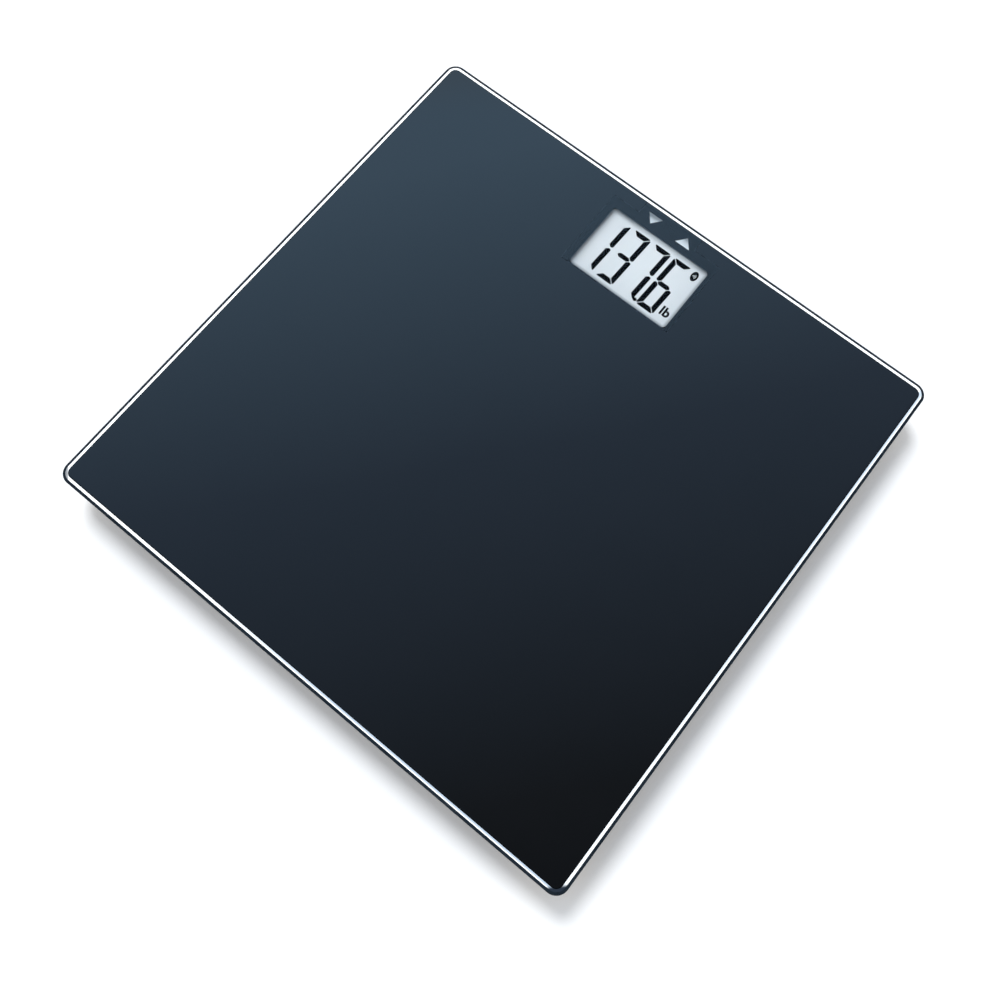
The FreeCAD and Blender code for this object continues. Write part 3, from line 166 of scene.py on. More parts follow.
class Finish:
    # one material with its nodes; every pattern reads Object coordinates
    def __init__(self, name):
        self.material = bpy.data.materials.new(name)
        self.material.use_nodes = True
        self.nodes = self.material.node_tree.nodes
        self.links = self.material.node_tree.links
        self.nodes.clear()
        self.shader = self.nodes.new("ShaderNodeBsdfPrincipled")
        self.out = self.nodes.new("ShaderNodeOutputMaterial")
        self.links.new(self.shader.outputs[0], self.out.inputs["Surface"])
        self.place = self.nodes.new("ShaderNodeTexCoord").outputs["Object"]

    def link(self, source, target):
        if isinstance(source, (int, float, tuple)):
            target.default_value = source
        else:
            self.links.new(source, target)

    def noise(self, size, detail=3, roughness=0.55, stretch=None):
        # size is the width of a blotch in metres
        texture = self.nodes.new("ShaderNodeTexNoise")
        texture.inputs["Scale"].default_value = 1 / size
        texture.inputs["Detail"].default_value = detail
        texture.inputs["Roughness"].default_value = roughness
        where = self.place
        if stretch:
            mapping = self.nodes.new("ShaderNodeMapping")
            mapping.inputs["Scale"].default_value = stretch
            self.links.new(where, mapping.inputs["Vector"])
            where = mapping.outputs[0]
        self.links.new(where, texture.inputs["Vector"])
        return texture.outputs["Fac"]

    def cells(self, size, feature="F1"):
        texture = self.nodes.new("ShaderNodeTexVoronoi")
        texture.feature = feature
        texture.inputs["Scale"].default_value = 1 / size
        self.links.new(self.place, texture.inputs["Vector"])
        return texture.outputs["Distance"]

    def math(self, operation, a, b=0.0, clamp=False):
        node = self.nodes.new("ShaderNodeMath")
        node.operation = operation
        node.use_clamp = clamp
        self.link(a, node.inputs[0])
        self.link(b, node.inputs[1])
        return node.outputs[0]

    def range(self, source, low, high, to=(0.0, 1.0), smooth=False):
        node = self.nodes.new("ShaderNodeMapRange")
        node.interpolation_type = "SMOOTHSTEP" if smooth else "LINEAR"
        node.inputs["From Min"].default_value = low
        node.inputs["From Max"].default_value = high
        node.inputs["To Min"].default_value = to[0]
        node.inputs["To Max"].default_value = to[1]
        self.link(source, node.inputs["Value"])
        return node.outputs["Result"]

    def between(self, source, low, high):
        above = self.math("GREATER_THAN", source, low)
        below = self.math("LESS_THAN", source, high)
        return self.math("MULTIPLY", above, below)

    def axes(self):
        node = self.nodes.new("ShaderNodeSeparateXYZ")
        self.links.new(self.place, node.inputs[0])
        return node.outputs

    def blend(self, share, a, b):
        node = self.nodes.new("ShaderNodeMix")
        node.data_type = "RGBA"
        self.link(share, node.inputs[0])
        self.link(a, node.inputs[6])
        self.link(b, node.inputs[7])
        return node.outputs[2]

    def colour(self, source):
        self.link(source, self.shader.inputs["Base Color"])

    def rough(self, source):
        self.link(source, self.shader.inputs["Roughness"])

    def bump(self, height, depth, strength=1.0):
        # depth is the relief's real height in metres
        node = self.nodes.new("ShaderNodeBump")
        node.inputs["Distance"].default_value = depth
        node.inputs["Strength"].default_value = strength
        self.link(height, node.inputs["Height"])
        self.links.new(node.outputs[0], self.shader.inputs["Normal"])

    def set(self, **values):
        for name, value in values.items():
            self.shader.inputs[name.replace("_", " ")].default_value = value


def rgb(red, green, blue):
    # a colour given as a screen shows it, 0 to 255
    return tuple(
        (c / 255 / 12.92) if c / 255 <= 0.04045 else ((c / 255 + 0.055) / 1.055) ** 2.4
        for c in (red, green, blue)) + (1,)


def grained(name, dark, light, blotch, grain, depth, roughness, **values):
    # moulded, painted or cast stuff: soft tone changes, a fine grain and a roughness that varies
    finish = Finish(name)
    tone = finish.noise(blotch, 4)
    finish.colour(finish.blend(finish.range(tone, 0.3, 0.7), dark, light))
    fine = finish.noise(grain, 4, 0.6)
    finish.rough(finish.range(fine, 0.3, 0.7, roughness))
    finish.bump(fine, depth)
    finish.set(**values)
    return finish.material


def paint(node, material):
    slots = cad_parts[node].material_slots
    for slot in slots:
        slot.material = material


# pieces and the floor

def addPiece(name, bm, material, body):
    # turns a finished bmesh into a piece that rides on a body
    bmesh.ops.recalc_face_normals(bm, faces=bm.faces)
    mesh = bpy.data.meshes.new(name)
    bm.to_mesh(mesh)
    bm.free()
    mesh.materials.append(material)
    piece = bpy.data.objects.new(name, mesh)
    scene.collection.objects.link(piece)
    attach(piece, body)
    return piece


def addFloor():
    bm = bmesh.new()
    bmesh.ops.create_grid(bm, x_segments=2, y_segments=2, size=studio["floorSide"] / 2)
    bmesh.ops.translate(bm, verts=bm.verts, vec=(0, 0, -0.05 * mm))
    mesh = bpy.data.meshes.new("floor")
    bm.to_mesh(mesh)
    bm.free()
    floor = bpy.data.objects.new("floor", mesh)
    scene.collection.objects.link(floor)
    finish = Finish("floorPaint")
    pale = studio["floorColour"]
    finish.colour(finish.blend(
        finish.range(finish.noise(0.4), 0.3, 0.7), pale, tuple(0.985 * c for c in pale[:3]) + (1,)))
    finish.rough(finish.range(finish.noise(0.02), 0.3, 0.7, (0.75, 0.85)))
    finish.set(Specular_IOR_Level=0.1)
    # seen from below the floor is clear, so that the underside shows
    under = finish.nodes.new("ShaderNodeNewGeometry")
    through = finish.nodes.new("ShaderNodeBsdfTransparent")
    mix = finish.nodes.new("ShaderNodeMixShader")
    finish.links.new(under.outputs["Backfacing"], mix.inputs[0])
    finish.links.new(finish.shader.outputs[0], mix.inputs[1])
    finish.links.new(through.outputs[0], mix.inputs[2])
    finish.links.new(mix.outputs[0], finish.out.inputs["Surface"])
    mesh.materials.append(finish.material)


addFloor()
print("camera, sky, key light and floor ready")


# the display's sizes and place, which the glass over it also needs

display = {
    "film": (rgb(213, 217, 224), rgb(217, 221, 228)),
    "filmShade": rgb(138, 144, 152),    # beside the window's edge
    "shadeWidth": (2.2 * mm, 3.6 * mm),     # at the front and sides, and at the back
    "ink": (rgb(2, 2, 3), rgb(4, 4, 5)),
    "digits": "137.6",
    "digitHeight": 33.6 * mm,
    "window": (61 * mm, 40 * mm),
    "stroke": 2.85 * mm,
    "strokeApart": 7.94 * mm,       # left stroke to right stroke
    "pitch": 12.92 * mm,
    "slant": 0.031,
    "gap": 0.46 * mm,               # between two segments
    "lastStroke": 20.25 * mm,       # the last digit's right stroke from the window's centre
    "middle": -0.33 * mm,           # the digits' middle from the window's centre
    "thick": 0.03 * mm,
}
windowLow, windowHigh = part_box("lcd_gasket")
windowX = (windowLow[0] + windowHigh[0]) / 2
windowY = (windowLow[1] + windowHigh[1]) / 2
filmTop = float(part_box("lcd_polariser")[1][2])


# the glass platform: clear over the display, with a ground bevel and polished sides

glass = {
    "cornerRadius": 6.5 * mm,
    "cornerSteps": 14,
    "roundRadius": 0.6 * mm,        # the polished round between the bevel and the side
    "roundSteps": 6,
    "bevelDrop": 0.37 * mm,         # how far the shallow bevel drops at the side
    "bevelWidth": 3.2 * mm,
    "bevelLine": 0.36 * mm,         # the polished line along its inner edge
    "groundWidth": 1.3 * mm,       # the ground part; outside it the bevel is polished
    "groundInnerShare": 0.62,       # the inner strip's share of it
    "lowerArris": 0.8 * mm,
    "printGap": 0.01 * mm,
    "clearTones": ((0.955, 0.985, 0.98, 1), (0.965, 0.99, 0.985, 1)),
    "clearReach": 3 * mm,           # how far past the window and the marks the glass is clear
    "coated": (1.5 * mm, 0.6 * mm, -2.1 * mm, -3.0 * mm),     # the coated patch's sides from the window's
    "coatedTint": (0.15, 0.15, 0.15, 1),
    "clearRoughness": (0.013, 0.022),
    "blackTones": ((0.0010, 0.0011, 0.0012, 1), (0.0014, 0.0015, 0.0017, 1)),
    "groundTones": ((0.90, 0.925, 0.94, 1), (0.94, 0.96, 0.97, 1)),
    "groundRoughness": (0.36, 0.48),
    "groundInShade": rgb(34, 42, 53),
    "groundInner": (rgb(168, 182, 197), rgb(184, 197, 211)),     # painted shade on the inner strip, at the front, at the right
    "cornerShadeSpan": (1.929, 1.946),      # painted shade from here to there along the right front corner
    # painted shade round the left front corner, and how strong it is
    "leftCornerShadeSpan": (1.944, 1.952),
    "leftCornerShadeShare": 0.75,
    "sideTones": (rgb(22, 29, 36), rgb(28, 36, 44)),
    "sideRoughness": (0.10, 0.17),
}


def clearGlassFinish():
    # clear over the display and its marks; elsewhere the black print shows as if it lay at the surface
    reach = glass["clearReach"]
    finish = Finish("clearGlass")
    x, y, _ = finish.axes()

    def inside(left, right, front, back):
        return finish.math(
            "MULTIPLY", finish.between(x, float(left), float(right)),
            finish.between(y, float(front), float(back)))
    marksLow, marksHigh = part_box("key_marks")
    wide, tall = display["window"][0] / 2, display["window"][1] / 2
    window = finish.math(
        "MAXIMUM",
        inside(
            windowX - wide - reach, windowX + wide + reach,
            windowY - tall - reach, windowY + tall + reach),
        inside(
            marksLow[0] - reach, marksHigh[0] + reach,
            marksLow[1] - reach, marksHigh[1] + reach))
    # a coating over the display takes most of its mirroring away
    left, right, front, back = glass["coated"]
    coated = inside(
        windowX - wide + left, windowX + wide + right, windowY - tall + front, windowY + tall + back)
    finish.link(
        finish.blend(coated, (1.0, 1.0, 1.0, 1), glass["coatedTint"]),
        finish.shader.inputs["Specular Tint"])
    smear = finish.noise(40 * mm, 4)
    clear = finish.blend(finish.range(smear, 0.35, 0.7), *glass["clearTones"])
    black = finish.blend(finish.range(smear, 0.35, 0.7), *glass["blackTones"])
    finish.colour(finish.blend(window, black, clear))
    finish.rough(finish.range(smear, 0.35, 0.7, glass["clearRoughness"]))
    finish.link(window, finish.shader.inputs["Transmission Weight"])
    finish.set(IOR=1.5)
    # lamps shine through, so that what lies under the glass is lit
    path = finish.nodes.new("ShaderNodeLightPath")
    through = finish.nodes.new("ShaderNodeBsdfTransparent")
    mix = finish.nodes.new("ShaderNodeMixShader")
    finish.links.new(finish.math("MULTIPLY", path.outputs["Is Shadow Ray"], window), mix.inputs[0])
    finish.links.new(finish.shader.outputs[0], mix.inputs[1])
    finish.links.new(through.outputs[0], mix.inputs[2])
    finish.links.new(mix.outputs[0], finish.out.inputs["Surface"])
    return finish.material


def glassUndersideFinish():
    # the print and the display lie against the glass, so its underside mirrors nothing
    finish = Finish("glassUnderside")
    through = finish.nodes.new("ShaderNodeBsdfTransparent")
    finish.links.new(
        finish.blend(
            finish.range(finish.noise(40 * mm, 3), 0.3, 0.7),
            (0.97, 0.985, 0.98, 1), (0.98, 0.99, 0.985, 1)),
        through.inputs["Color"])
    finish.links.new(through.outputs[0], finish.out.inputs["Surface"])
    return finish.material


def groundBevelFinish(low, high):
    finish = Finish("groundBevel")
    x, y, _ = finish.axes()
    haze = finish.noise(0.5 * mm, 3)
    frostAndPaintedShade = finish.blend(finish.range(haze, 0.3, 0.7), *glass["groundTones"])
    # painted shade: along the front and the right, the sides away from the key light, the inner strip is
    # painted greyer, more so towards their corner
    reach = glass["bevelWidth"] - glass["bevelLine"] - glass["groundWidth"] * glass["groundInnerShare"]
    front = finish.math(
        "MULTIPLY", finish.between(y, float(low[1]) + reach, float(low[1]) + 4 * mm),
        finish.range(x, -0.10, 0.03, smooth=True))
    frostAndPaintedShade = finish.blend(front, frostAndPaintedShade, glass["groundInner"][0])
    right = finish.math(
        "MULTIPLY", finish.between(x, float(high[0]) - 4 * mm, float(high[0]) - reach),
        finish.range(y, -0.20, 0.06, (0.25, 1.0), smooth=True))
    frostAndPaintedShade = finish.blend(right, frostAndPaintedShade, glass["groundInner"][1])
    # painted shade: round the front corners the bevel is painted in the dark side tone instead of the
    # frost
    across = finish.math("DIVIDE", x, float(high[0]))
    along = finish.math("DIVIDE", y, float(low[1]))
    corner = finish.range(finish.math("ADD", across, along), *glass["cornerShadeSpan"], smooth=True)
    leftCorner = finish.range(
        finish.math("SUBTRACT", along, across), *glass["leftCornerShadeSpan"], smooth=True)
    paintedCornerShade = finish.math("MAXIMUM", corner, finish.math("MULTIPLY", leftCorner, glass["leftCornerShadeShare"]))
    finish.colour(finish.blend(paintedCornerShade, frostAndPaintedShade, glass["groundInShade"]))
    finish.rough(finish.range(haze, 0.3, 0.7, glass["groundRoughness"]))
    finish.bump(finish.noise(0.12 * mm, 2), 0.004 * mm)
    finish.set(Specular_IOR_Level=0.12)
    return finish.material


def polishedSideFinish(low, high):
    finish = Finish("polishedSide")
    tone = finish.noise(9 * mm, 3)
    dark = finish.blend(finish.range(tone, 0.3, 0.7), *glass["sideTones"])
    # the line along the bevel's inner edge shows the black print
    x, y, z = finish.axes()
    reach = glass["bevelWidth"] - glass["bevelLine"] - 0.08 * mm
    line = finish.math(
        "MULTIPLY", finish.between(x, float(low[0]) + reach, float(high[0]) - reach),
        finish.between(y, float(low[1]) + reach, float(high[1]) - reach))
    line = finish.math("MULTIPLY", line, finish.math("GREATER_THAN", z, float(low[2] + high[2]) / 2))
    finish.colour(finish.blend(line, dark, glass["blackTones"][0]))
    finish.rough(finish.range(finish.noise(1.2 * mm, 3), 0.3, 0.7, glass["sideRoughness"]))
    finish.bump(finish.noise(2.5 * mm, 2), 0.002 * mm)
    finish.set(Specular_IOR_Level=0.0, Coat_Weight=0.04, Coat_Roughness=0.08)
    return finish.material


def addGlassPlate():
    low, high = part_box("glass_platform")
    width, depth = high[0] - low[0], high[1] - low[1]
    slope = math.atan2(glass["bevelDrop"], glass["bevelWidth"])
    turn = math.pi / 2 - slope
    radius = glass["roundRadius"]
    roundFoot = high[2] - glass["bevelDrop"] - radius * math.tan(turn / 2)
    bm = bmesh.new()
    bmesh.ops.create_grid(bm, x_segments=1, y_segments=1, size=0.5)
    bmesh.ops.scale(bm, verts=bm.verts, vec=(width, depth, 1))
    bmesh.ops.translate(bm, verts=bm.verts, vec=(
        (low[0] + high[0]) / 2, (low[1] + high[1]) / 2, low[2] + glass["printGap"] + glass["lowerArris"]))
    bmesh.ops.bevel(
        bm, geom=list(bm.verts), offset=glass["cornerRadius"], segments=glass["cornerSteps"],
        profile=0.5, affect="VERTICES", material=-1)
    foot = next(iter(bm.faces))
    drawn = bmesh.ops.extrude_face_region(bm, geom=[foot])
    top = next(g for g in drawn["geom"] if isinstance(g, bmesh.types.BMFace))
    bmesh.ops.translate(
        bm, verts=list(top.verts),
        vec=(0, 0, roundFoot - low[2] - glass["printGap"] - glass["lowerArris"]))
    bmesh.ops.recalc_face_normals(bm, faces=bm.faces)
    for face in bm.faces:
        face.material_index = 1

    def draw(face, inwards, outwards, slot):
        ring = bmesh.ops.inset_region(
            bm, faces=[face], thickness=inwards, depth=outwards, use_even_offset=True,
            use_boundary=True)
        for side in ring["faces"]:
            side.material_index = slot
    # underneath: the arris, then bare dark glass as far as the print
    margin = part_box("back_print")[0][0] - low[0]
    draw(foot, glass["lowerArris"], glass["lowerArris"], 1)
    draw(foot, margin + 0.3 * mm - glass["lowerArris"], 0, 1)
    steps = [turn * step / glass["roundSteps"] for step in range(glass["roundSteps"] + 1)]
    for a, b in zip(steps, steps[1:]):
        draw(top, radius * (math.cos(a) - math.cos(b)), radius * (math.sin(b) - math.sin(a)), 1)
    rise = math.tan(slope)
    inner = glass["groundWidth"] * glass["groundInnerShare"]
    polished = (
        glass["bevelWidth"] - radius * (1 - math.sin(slope)) - glass["groundWidth"] - glass["bevelLine"])
    for width, slot in (
            (polished, 1), (glass["groundWidth"] - inner, 2), (inner, 2), (glass["bevelLine"], 1)):
        draw(top, width, width * rise, slot)
    top.material_index = 0
    foot.material_index = 3
    piece = addPiece("glass_plate", bm, clearGlassFinish(), "platform")
    piece.data.materials.append(polishedSideFinish(low, high))
    piece.data.materials.append(groundBevelFinish(low, high))
    piece.data.materials.append(glassUndersideFinish())
    piece.data.shade_smooth()
    piece.data.set_sharp_from_angle(angle=math.radians(22))
    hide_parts("glass_platform")


addGlassPlate()
paint("back_print", grained(
    "blackPrint", (0.0008, 0.0009, 0.001, 1), (0.0014, 0.0015, 0.0017, 1), 60 * mm, 9 * mm,
    0.0004 * mm, (0.6, 0.75), Specular_IOR_Level=0.0))
paint("key_marks", grained(
    "palePrint", rgb(218, 224, 232), rgb(224, 230, 237), 4 * mm, 0.2 * mm, 0.002 * mm, (0.4, 0.5)))
print("glass and print finished")


# the display: its films, its glass and what it shows

def filmFinish():
    # a reflective liquid crystal: a milky pale blue-grey with a very fine sparkle
    finish = Finish("polariserFilm")
    sparkle = finish.noise(0.09 * mm, 2, 0.7)
    cloud = finish.noise(14 * mm, 3)
    both = finish.math("ADD", finish.math("MULTIPLY", sparkle, 0.4), finish.math("MULTIPLY", cloud, 0.6))
    milky = finish.blend(finish.range(both, 0.35, 0.65), *display["film"])
    # the window's edge shades the film, most along the back
    x, y, _ = finish.axes()
    low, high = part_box("lcd_gasket")
    rim = (high[0] - low[0] - display["window"][0]) / 2, (high[1] - low[1] - display["window"][1]) / 2
    near, far = display["shadeWidth"]
    toLeft = finish.math("DIVIDE", finish.math("SUBTRACT", x, float(low[0] + rim[0])), near)
    toRight = finish.math("DIVIDE", finish.math("SUBTRACT", float(high[0] - rim[0]), x), near)
    toFront = finish.math("DIVIDE", finish.math("SUBTRACT", y, float(low[1] + rim[1])), near)
    toBack = finish.math("DIVIDE", finish.math("SUBTRACT", float(high[1] - rim[1]), y), far)
    nearest = finish.math(
        "SMOOTH_MIN", finish.math("SMOOTH_MIN", toLeft, toRight),
        finish.math("SMOOTH_MIN", toFront, toBack))
    shade = finish.range(nearest, -0.1, 1.0, (1.0, 0.0), smooth=True)
    finish.colour(finish.blend(shade, milky, display["filmShade"]))
    finish.rough(finish.range(sparkle, 0.3, 0.7, (0.38, 0.5)))
    finish.bump(sparkle, 0.002 * mm)
    return finish.material


def inkFinish():
    finish = Finish("displayInk")
    tone = finish.noise(1.5 * mm, 3)
    finish.colour(finish.blend(finish.range(tone, 0.3, 0.7), *display["ink"]))
    finish.rough(finish.range(finish.noise(0.1 * mm, 2), 0.3, 0.7, (0.42, 0.55)))
    finish.bump(finish.noise(0.1 * mm, 2), 0.001 * mm)
    finish.set(Specular_IOR_Level=0.0)
    return finish.material


def segmentOutlines(left, right, top, bottom):
    # the seven segments of one upright digit as mitred outlines, named a to g as usual
    middle = (top + bottom) / 2
    half = display["stroke"] / 2
    gap = display["gap"]
    outL, outR, inL, inR = left - half, right + half, left + half, right - half
    high, low = top - 2 * half, bottom + 2 * half

    def side(outer, inner, end, innerEnd):
        # a vertical stroke from its mitred end to the blunt tip beside the middle bar
        way = 1 if end > middle else -1
        return [
            (outer, end - way * (gap + 0.55 * mm)),
            (outer + (inner - outer) * 0.2, end - way * (gap + 0.35 * mm)),
            (inner, innerEnd - way * gap * 0.6),
            (inner, middle + way * (half * 0.85 + gap)),
            (outer + (inner - outer) * 0.55, middle + way * gap * 1.1),
            (outer + (inner - outer) * 0.25, middle + way * gap * 1.1), (outer, middle + way * 1.1 * mm)]

    def bar(outer, inner):
        # a top or bottom stroke, mitred at both ends
        return [
            (outL + gap + 0.55 * mm, outer), (outR - gap - 0.55 * mm, outer),
            (outR - gap - 0.35 * mm, outer + (inner - outer) * 0.2), (inR - gap * 0.6, inner),
            (inL + gap * 0.6, inner), (outL + gap + 0.35 * mm, outer + (inner - outer) * 0.2)]
    tipL, tipR = left + gap * 0.9, right - gap * 0.9
    return {
        "a": bar(top, high),
        "d": bar(bottom, low),
        "b": side(outR, inR, top, high),
        "f": side(outL, inL, top, high),
        "c": side(outR, inR, bottom, low),
        "e": side(outL, inL, bottom, low),
        "g": [
            (tipL, middle + 0.35 * mm), (tipL + half * 0.85, middle + half * 0.92),
            (tipR - half * 0.85, middle + half * 0.92), (tipR, middle + 0.35 * mm),
            (tipR, middle - 0.35 * mm), (tipR - half * 0.85, middle - half * 0.92),
            (tipL + half * 0.85, middle - half * 0.92), (tipL, middle - 0.35 * mm)]}


litSegments = {
    "0": "abcdef", "1": "bc", "2": "abged", "3": "abgcd", "4": "fgbc",
    "5": "afgcd", "6": "afgecd", "7": "abc", "8": "abcdefg", "9": "abcdfg"}


def drawOut(bm, points, bottom, top):
    # one flat outline drawn out into a thin closed plate
    corners = [bm.verts.new((x, y, bottom)) for x, y in points]
    face = bm.faces.new(corners)
    drawn = bmesh.ops.extrude_face_region(bm, geom=[face])
    moved = [v for v in drawn["geom"] if isinstance(v, bmesh.types.BMVert)]
    bmesh.ops.translate(bm, verts=moved, vec=(0, 0, top - bottom))


def addDigits(ink):
    bm = bmesh.new()
    middleY = windowY + display["middle"]
    top = middleY + display["digitHeight"] / 2
    bottom = middleY - display["digitHeight"] / 2
    marks = display["digits"].replace(".", "")
    for place, mark in enumerate(marks):
        right = windowX + display["lastStroke"] - display["pitch"] * (len(marks) - 1 - place)
        outlines = segmentOutlines(right - display["strokeApart"], right, top, bottom)
        for letter in litSegments[mark]:
            leaning = [(x + (y - middleY) * display["slant"], y) for x, y in outlines[letter]]
            drawOut(bm, leaning, filmTop - 0.005 * mm, filmTop + display["thick"])
    # the decimal point before the last digit
    point = bmesh.ops.create_circle(bm, cap_ends=True, radius=1.05 * mm, segments=28)
    where = windowX + display["lastStroke"] - display["strokeApart"] - 3.15 * mm
    bmesh.ops.translate(
        bm, verts=point["verts"], vec=(where, bottom + 1.3 * mm, filmTop - 0.005 * mm))
    disc = point["verts"][0].link_faces[0]
    drawn = bmesh.ops.extrude_face_region(bm, geom=[disc])
    bmesh.ops.translate(
        bm, verts=[v for v in drawn["geom"] if isinstance(v, bmesh.types.BMVert)],
        vec=(0, 0, display["thick"]))
    return addPiece("display_digits", bm, ink, "platform")


unitText = {"words": "lb", "height": 5.3 * mm, "left": 22.9 * mm, "base": -14.2 * mm}


def addUnitLetters(ink):
    curve = bpy.data.curves.new("unitLetters", "FONT")
    curve.body = unitText["words"]
    curve.size = unitText["height"] * 1.37
    curve.extrude = display["thick"] / 2
    curve.space_character = 1.05
    curve.offset = 0.26 * mm
    textObject = bpy.data.objects.new("unitLetters", curve)
    scene.collection.objects.link(textObject)
    bpy.context.view_layer.update()
    mesh = bpy.data.meshes.new_from_object(
        textObject.evaluated_get(bpy.context.evaluated_depsgraph_get()))
    bpy.data.objects.remove(textObject)
    bm = bmesh.new()
    bm.from_mesh(mesh)
    bmesh.ops.remove_doubles(bm, verts=bm.verts, dist=0.002 * mm)
    bmesh.ops.translate(
        bm, verts=bm.verts,
        vec=(
            windowX + unitText["left"], windowY + unitText["base"],
            filmTop + display["thick"] / 2 - 0.004 * mm))
    return addPiece("unit_letters", bm, ink, "platform")


signalIcon = {
    "centre": (25.6 * mm, 13.85 * mm), "width": 3.9 * mm, "height": 6.1 * mm,
    "arcs": (0.75 * mm, 1.45 * mm), "arcWidth": 0.3 * mm}


def addSignalIcon(ink, pale):
    # a dark oval with a dot and two wave arcs, for the radio link
    x, y = windowX + signalIcon["centre"][0], windowY + signalIcon["centre"][1]
    bm = bmesh.new()
    made = bmesh.ops.create_circle(bm, cap_ends=True, radius=0.5, segments=40)
    bmesh.ops.scale(bm, verts=made["verts"], vec=(signalIcon["width"], signalIcon["height"], 1))
    bmesh.ops.translate(bm, verts=made["verts"], vec=(x, y, filmTop - 0.005 * mm))
    drawn = bmesh.ops.extrude_face_region(bm, geom=list(bm.faces))
    bmesh.ops.translate(
        bm, verts=[v for v in drawn["geom"] if isinstance(v, bmesh.types.BMVert)],
        vec=(0, 0, display["thick"]))
    addPiece("signal_oval", bm, ink, "platform")
    bm = bmesh.new()
    level = filmTop + display["thick"] - 0.004 * mm
    root = Vector((x - 0.75 * mm, y, level))
    for radius in signalIcon["arcs"]:
        half = signalIcon["arcWidth"] / 2
        start = Matrix.Rotation(-math.radians(52), 3, "Z")
        inner = bm.verts.new(root + start @ Vector((radius - half, 0, 0)))
        outer = bm.verts.new(root + start @ Vector((radius + half, 0, 0)))
        edge = bm.edges.new((inner, outer))
        bmesh.ops.spin(
            bm, geom=[inner, outer, edge], cent=root, axis=(0, 0, 1), angle=math.radians(104), steps=14)
    dot = bmesh.ops.create_circle(bm, cap_ends=True, radius=0.3 * mm, segments=16)
    bmesh.ops.translate(bm, verts=dot["verts"], vec=root)
    bmesh.ops.remove_doubles(bm, verts=bm.verts, dist=0.001 * mm)
    drawn = bmesh.ops.extrude_face_region(bm, geom=list(bm.faces))
    bmesh.ops.translate(
        bm, verts=[v for v in drawn["geom"] if isinstance(v, bmesh.types.BMVert)],
        vec=(0, 0, 0.02 * mm))
    addPiece("signal_waves", bm, pale, "platform")


film = filmFinish()
ink = inkFinish()
paint("lcd_polariser", film)
paint("lcd_panel", grained(
    "displayGlass", rgb(120, 132, 140), rgb(128, 140, 148), 6 * mm, 0.3 * mm, 0.001 * mm, (0.04, 0.1)))
paint("lcd_reflector", grained(
    "reflectorFilm", rgb(190, 192, 194), rgb(202, 204, 206), 8 * mm, 0.15 * mm, 0.002 * mm, (0.25, 0.38),
    Metallic=0.8))
paint("lcd_gasket", grained(
    "blackFoam", (0.006, 0.006, 0.007, 1), (0.014, 0.014, 0.016, 1), 0.8 * mm, 0.3 * mm, 0.05 * mm,
    (0.8, 0.95)))
addDigits(ink)
addUnitLetters(ink)
addSignalIcon(ink, film)
print("display finished")


# housings, ducts, feet and small parts

def stripedRubber():
    finish = Finish("zebraRubber")
    wave = finish.nodes.new("ShaderNodeTexWave")
    wave.bands_direction = "X"
    wave.inputs["Scale"].default_value = 900
    finish.links.new(finish.place, wave.inputs["Vector"])
    finish.colour(finish.blend(
        finish.range(wave.outputs["Fac"], 0.4, 0.6), rgb(214, 150, 158), rgb(34, 32, 34)))
    finish.rough(finish.range(finish.noise(0.3 * mm), 0.3, 0.7, (0.45, 0.6)))
    finish.bump(wave.outputs["Fac"], 0.01 * mm)
    return finish.material


def circuitBoardFinish():
    # solder mask over traces: cells with darker gaps, and the mask's slight waviness
    finish = Finish("circuitBoard")
    edges = finish.cells(3.2 * mm, "DISTANCE_TO_EDGE")
    trace = finish.range(edges, 0.035, 0.06)
    base = finish.blend(finish.noise(12 * mm), rgb(16, 74, 44), rgb(20, 84, 50))
    finish.colour(finish.blend(trace, rgb(12, 50, 32), base))
    finish.rough(finish.range(finish.noise(1 * mm), 0.3, 0.7, (0.25, 0.4)))
    finish.bump(finish.math("ADD", trace, finish.noise(0.6 * mm)), 0.02 * mm)
    return finish.material


def steelFinish(name, light, dark, streaks, roughness, depth=0.004 * mm):
    # rolled or turned steel: long fine streaks over a blotchy plating
    finish = Finish(name)
    streak = finish.noise(0.5 * mm, 5, 0.6, streaks)
    blotch = finish.noise(3 * mm, 4)
    share = finish.math("MULTIPLY", finish.math("ADD", streak, blotch), 0.5)
    finish.colour(finish.blend(finish.range(share, 0.35, 0.65), dark, light))
    finish.rough(finish.range(streak, 0.3, 0.7, roughness))
    finish.bump(streak, depth)
    finish.set(Metallic=1.0)
    return finish.material


def labelFinish():
    # white paper with a ruled frame and empty rows, no words
    low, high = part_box("rating_label")
    finish = Finish("labelPaper")
    x, y, _ = finish.axes()
    acrossMm = finish.math("MULTIPLY", finish.math("SUBTRACT", x, float(low[0])), 1000.0)
    upMm = finish.math("MULTIPLY", finish.math("SUBTRACT", y, float(low[1])), 1000.0)
    wide, tall = (high[0] - low[0]) * 1000, (high[1] - low[1]) * 1000

    def frameInside(rim):
        return finish.math(
            "MULTIPLY", finish.between(acrossMm, rim, wide - rim), finish.between(upMm, rim, tall - rim))
    outer, inner = frameInside(1.0), frameInside(1.3)
    border = finish.math("SUBTRACT", outer, inner)
    step = finish.math("FRACT", finish.math("DIVIDE", upMm, 4.2))
    rules = finish.math("MULTIPLY", finish.between(step, 0.46, 0.52), inner)
    ruled = finish.math("MAXIMUM", border, rules)
    fibre = finish.noise(0.4 * mm, 5, 0.7)
    paper = finish.blend(finish.range(fibre, 0.3, 0.7), rgb(226, 226, 222), rgb(236, 236, 233))
    finish.colour(finish.blend(ruled, paper, rgb(60, 62, 66)))
    finish.rough(finish.range(fibre, 0.3, 0.7, (0.6, 0.75)))
    finish.bump(fibre, 0.008 * mm)
    return finish.material


